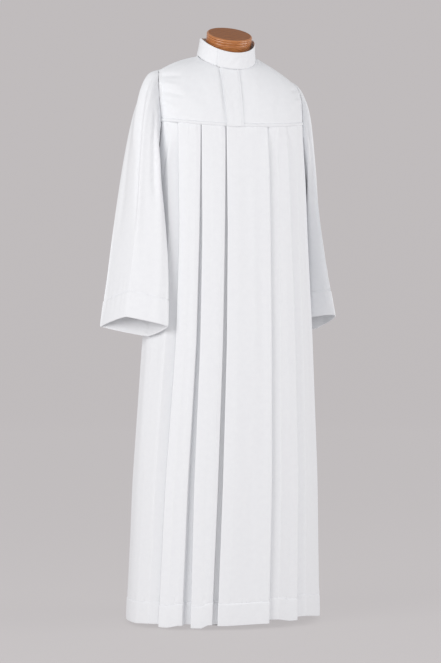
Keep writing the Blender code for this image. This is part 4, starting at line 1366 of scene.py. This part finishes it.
def turnedPiece(name, rings, materials, topFaces=False):
    # A closed solid from rings that run upwards; the top and bottom close with smaller rings
    rings = np.array(rings)
    count = rings.shape[1]
    caps = []
    for edge in (rings[0], rings[-1]):
        centre = edge.mean(axis=0)
        caps.append([centre + (edge - centre) * share for share in (0.985, 0.66, 0.33)] + [centre])
    lower, upper = caps
    stack = [row for row in lower[2::-1]] + list(rings) + upper[:3]
    points = np.concatenate(stack + [[lower[3]], [upper[3]]])
    faces = []
    slots = []
    rows = len(stack)
    for row in range(rows - 1):
        for column in range(count):
            beside = (column + 1) % count
            faces.append((row * count + column, row * count + beside,
                          (row + 1) * count + beside, (row + 1) * count + column))
            slots.append(1 if topFaces and row >= rows - 4 else 0)
    bottom, top = rows * count, rows * count + 1
    for column in range(count):
        beside = (column + 1) % count
        faces.append((beside, column, bottom))
        slots.append(0)
        faces.append(((rows - 1) * count + column, (rows - 1) * count + beside, top))
        slots.append(1 if topFaces else 0)
    mesh = bpy.data.meshes.new(name)
    mesh.from_pydata(points.tolist(), [], faces)
    for material in materials:
        mesh.materials.append(material)
    mesh.polygons.foreach_set("material_index", slots)
    mesh.shade_smooth()
    mesh.set_sharp_from_angle(angle=math.radians(50))
    return addObject(name, mesh)


def profileRings(profile, count):
    turn = np.linspace(0.0, 2 * math.pi, count, endpoint=False)
    return [np.column_stack([radius * np.sin(turn), -radius * np.cos(turn), np.full(count, height)])
            for radius, height in profile]


# Beech, turned, stained and varnished: warm grain under a clear gloss coat; the end face is darker
wood = {
    "roughness": 0.38,
    "coatRoughness": 0.12,
    "offset": (0.02, 0.05, -1.40),
    "twist": 0.3,
    "grainWidth": 0.01302,    # from one ring to the next
    "grainBend": 5.0,
    "poreSize": 0.00625,      # a patch of pores
    "poreShare": 0.6,
    "poreDepth": 0.0003,
    "darkest": 0.15,         # the grain's value that is fully dark
    "faceShine": 0.25,
}


def makeWood(name, light, dark, axisScale, gloss):
    material, tree, shader = newMaterial(name, wood["roughness"], Coat_Weight=gloss,
                                         Coat_Roughness=wood["coatRoughness"])
    place = addNode(tree, "ShaderNodeTexCoord")
    turned = addNode(tree, "ShaderNodeMapping", Vector=place.outputs["Object"], Location=wood["offset"],
                     Rotation=(math.radians(-form["capLean"]), 0.0, wood["twist"]), Scale=axisScale)
    grain = addNode(tree, "ShaderNodeTexWave", {"wave_type": "BANDS", "bands_direction": "Y"},
                    Vector=turned.outputs[0], Scale=1.0 / wood["grainWidth"] / waveBands,
                    Distortion=wood["grainBend"], Detail=3.0, Detail_Scale=1.6)
    pores = addNode(tree, "ShaderNodeTexNoise", Vector=turned.outputs[0], Scale=1.0 / wood["poreSize"],
                    Detail=4.0, Roughness=0.6)
    blend = addNode(tree, "ShaderNodeMath", {"operation": "MULTIPLY_ADD"}, i0=pores.outputs["Fac"],
                    i1=wood["poreShare"], i2=grain.outputs["Fac"])
    ramp = addNode(tree, "ShaderNodeValToRGB", Fac=blend.outputs[0])
    for element, position, colour in zip(ramp.color_ramp.elements, (wood["darkest"], 1.0), (dark, light)):
        element.position = position
        element.color = linearColour(colour)
    tree.links.new(ramp.outputs["Color"], shader.inputs["Base Color"])
    bump = addNode(tree, "ShaderNodeBump", Strength=0.12, Distance=wood["poreDepth"],
                   Height=pores.outputs["Fac"])
    tree.links.new(bump.outputs["Normal"], shader.inputs["Normal"])
    return material


# Natural linen stretched over the form: plain weave, dull, with thick and thin threads
linen = {"roughness": 0.9, "shade": "#C4B79E", "light": "#DCD2BC", "threadPitch": 0.000868,
         "threadDepth": 0.0003, "slubSize": 0.004167}


def makeLinen():
    material, tree, shader = newMaterial("naturalLinen", linen["roughness"])
    place = addNode(tree, "ShaderNodeTexCoord")
    threads = addNode(tree, "ShaderNodeTexWave", {"bands_direction": "Z"}, Vector=place.outputs["Object"],
                      Scale=1.0 / (linen["threadPitch"] * 2) / waveBands, Distortion=2.0, Detail=2.0)
    slubs = addNode(tree, "ShaderNodeTexNoise", Vector=place.outputs["Object"],
                    Scale=1.0 / linen["slubSize"], Detail=3.0)
    mixed = addNode(tree, "ShaderNodeMix", {"data_type": "RGBA"}, i0=slubs.outputs["Fac"],
                    i6=linearColour(linen["shade"]), i7=linearColour(linen["light"]))
    tree.links.new(mixed.outputs[2], shader.inputs["Base Color"])
    bump = addNode(tree, "ShaderNodeBump", Strength=0.3, Distance=linen["threadDepth"],
                   Height=threads.outputs["Fac"])
    tree.links.new(bump.outputs["Normal"], shader.inputs["Normal"])
    return material


# Black powder coat on steel and iron: fine orange peel, satin
powder = {"roughness": 0.42, "shade": "#161617", "light": "#222223", "peelSize": 0.002381,
          "peelDepth": 0.0002}


def makePowderCoat():
    material, tree, shader = newMaterial("blackPowderCoat", powder["roughness"], Coat_Weight=0.15)
    place = addNode(tree, "ShaderNodeTexCoord")
    peel = addNode(tree, "ShaderNodeTexNoise", Vector=place.outputs["Object"],
                   Scale=1.0 / powder["peelSize"], Detail=2.0)
    mixed = addNode(tree, "ShaderNodeMix", {"data_type": "RGBA"}, i0=peel.outputs["Fac"],
                    i6=linearColour(powder["shade"]), i7=linearColour(powder["light"]))
    tree.links.new(mixed.outputs[2], shader.inputs["Base Color"])
    bump = addNode(tree, "ShaderNodeBump", Strength=0.25, Distance=powder["peelDepth"],
                   Height=peel.outputs["Fac"])
    tree.links.new(bump.outputs["Normal"], shader.inputs["Normal"])
    return material


def makeFormAndStand():
    table = np.array(form["rings"])
    places = np.linspace(0, len(table) - 1, (len(table) - 1) * form["between"] + 1)
    fine = np.stack([np.interp(places, np.arange(len(table)), table[:, c]) for c in range(5)], axis=1)
    for _ in range(3):
        fine[1:-1] = 0.25 * fine[:-2] + 0.5 * fine[1:-1] + 0.25 * fine[2:]
    turn = np.linspace(0.0, 2 * math.pi, form["around"], endpoint=False)
    rings = []
    for centreY, centreZ, halfWidth, halfDepth, slope in fine:
        forward = halfDepth * np.cos(turn)
        rings.append(np.column_stack([halfWidth * np.sin(turn), centreY - forward,
                                      centreZ - forward * slope]))
    torso = turnedPiece("formTorso", rings, [makeLinen()])
    lean = Matrix.Translation(form["capCentre"]) @ Matrix.Rotation(math.radians(form["capLean"]), 4, "X")
    capRings = profileRings([(r, -d) for r, d in form["capProfile"][::-1]], form["around"])
    capRings = [np.array([(lean @ Vector(p))[:] for p in ring]) for ring in capRings]
    side = makeWood("varnishedBeechSide", "#C9834A", "#A8632F", (1.0, 1.0, 7.0), 0.7)
    face = makeWood("varnishedBeechFace", "#A5652E", "#84491D", (1.0, 1.0, 1.0), 0.05)
    face.node_tree.nodes["Principled BSDF"].inputs["Specular IOR Level"].default_value = wood["faceShine"]
    cap = turnedPiece("neckCap", capRings, [side, face], topFaces=True)
    black = makePowderCoat()
    footTop = form["footProfile"][-1][1]
    low, high = footTop + cloth["seamGap"], form["rings"][0][1] - cloth["seamGap"]
    pole = turnedPiece("standPole", profileRings([(form["poleRadius"], low), (form["poleRadius"], high)], 48),
                       [black])
    foot = turnedPiece("standFoot", profileRings(form["footProfile"], form["around"]), [black])
    for piece, node, slot in ((torso, "form_torso", "form_cover"), (cap, "neck_cap", "wood_cap"),
                              (pole, "pole", "stand_metal"), (foot, "foot", "stand_metal")):
        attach(piece, "root")
        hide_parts(node)
    print("form and stand made")


makeFormAndStand()


# Floor, backdrop and light
studio = {
    "floorColour": "#656362",
    "floorGlow": "#C3BFC0",      # the paper glows a little, so that it stays even
    "glow": 0.84,
    "floorReach": 10.5,          # flat this far all round, then swept up into a wall
    "sweepRadius": 2.5,
    "wallTop": 8.0,
    "sweepSteps": 16,
    "below": 0.0005,             # under the foot, so that the two don't share a face
    "around": 64,
    "aim": (0.0, 0.0, 0.8),      # what the lamps point at
    "worldColour": "#F7F7FA",
    "world": 0.43,
    "lights": (
        # name, to the viewer's right, towards the camera, height, size, watts
        ("keyLight", -2.6, 2.7, 1.9, 2.4, 66.0),
        ("fillLight", 3.5, 0.6, 1.6, 2.4, 47.0),
        ("frontLight", 0.2, 4.2, 1.3, 1.6, 24.0),
    ),
}


def makeStudio():
    radius = studio["sweepRadius"]
    reach = studio["floorReach"]
    profile = [(0.0001, 0.0), (reach * 0.5, 0.0), (reach, 0.0)]
    for step in range(1, studio["sweepSteps"] + 1):
        angle = math.radians(90.0 * step / studio["sweepSteps"])
        profile.append((reach + radius * math.sin(angle), radius - radius * math.cos(angle)))
    profile.append((reach + radius, studio["wallTop"]))
    count = studio["around"]
    points = []
    for spread, height in profile:
        for index in range(count):
            turned = 2 * math.pi * index / count
            points.append((spread * math.cos(turned), spread * math.sin(turned), height - studio["below"]))
    faces = []
    for row in range(len(profile) - 1):
        for index in range(count):
            beside = (index + 1) % count
            faces.append((row * count + index, (row + 1) * count + index,
                          (row + 1) * count + beside, row * count + beside))
    mesh = bpy.data.meshes.new("studioFloor")
    mesh.from_pydata(points, [], faces)
    mesh.shade_smooth()
    material, _, shader = newMaterial("paperBackdrop", 0.95)
    shader.inputs["Base Color"].default_value = linearColour(studio["floorColour"])
    shader.inputs["Emission Color"].default_value = linearColour(studio["floorGlow"])
    shader.inputs["Emission Strength"].default_value = studio["glow"]
    shader.inputs["Specular IOR Level"].default_value = 0.1
    mesh.materials.append(material)
    floor = addObject("studioFloor", mesh)
    world = bpy.data.worlds.new("studioWorld")
    world.use_nodes = True
    background = world.node_tree.nodes["Background"]
    background.inputs["Color"].default_value = linearColour(studio["worldColour"])
    background.inputs["Strength"].default_value = studio["world"]
    bpy.context.scene.world = world
    for name, aside, near, height, size, watts in studio["lights"]:
        data = bpy.data.lights.new(name, "AREA")
        data.size = size
        data.energy = watts
        lamp = addObject(name, data)
        lamp.visible_camera = False
        lamp.location = viewerRight * aside + towardsCamera * near + Vector((0.0, 0.0, height))
        lamp.rotation_euler = (Vector(studio["aim"]) - lamp.location).to_track_quat("-Z", "Y").to_euler()
    bpy.context.scene.view_settings.view_transform = "Standard"
    print("studio made")


makeStudio()
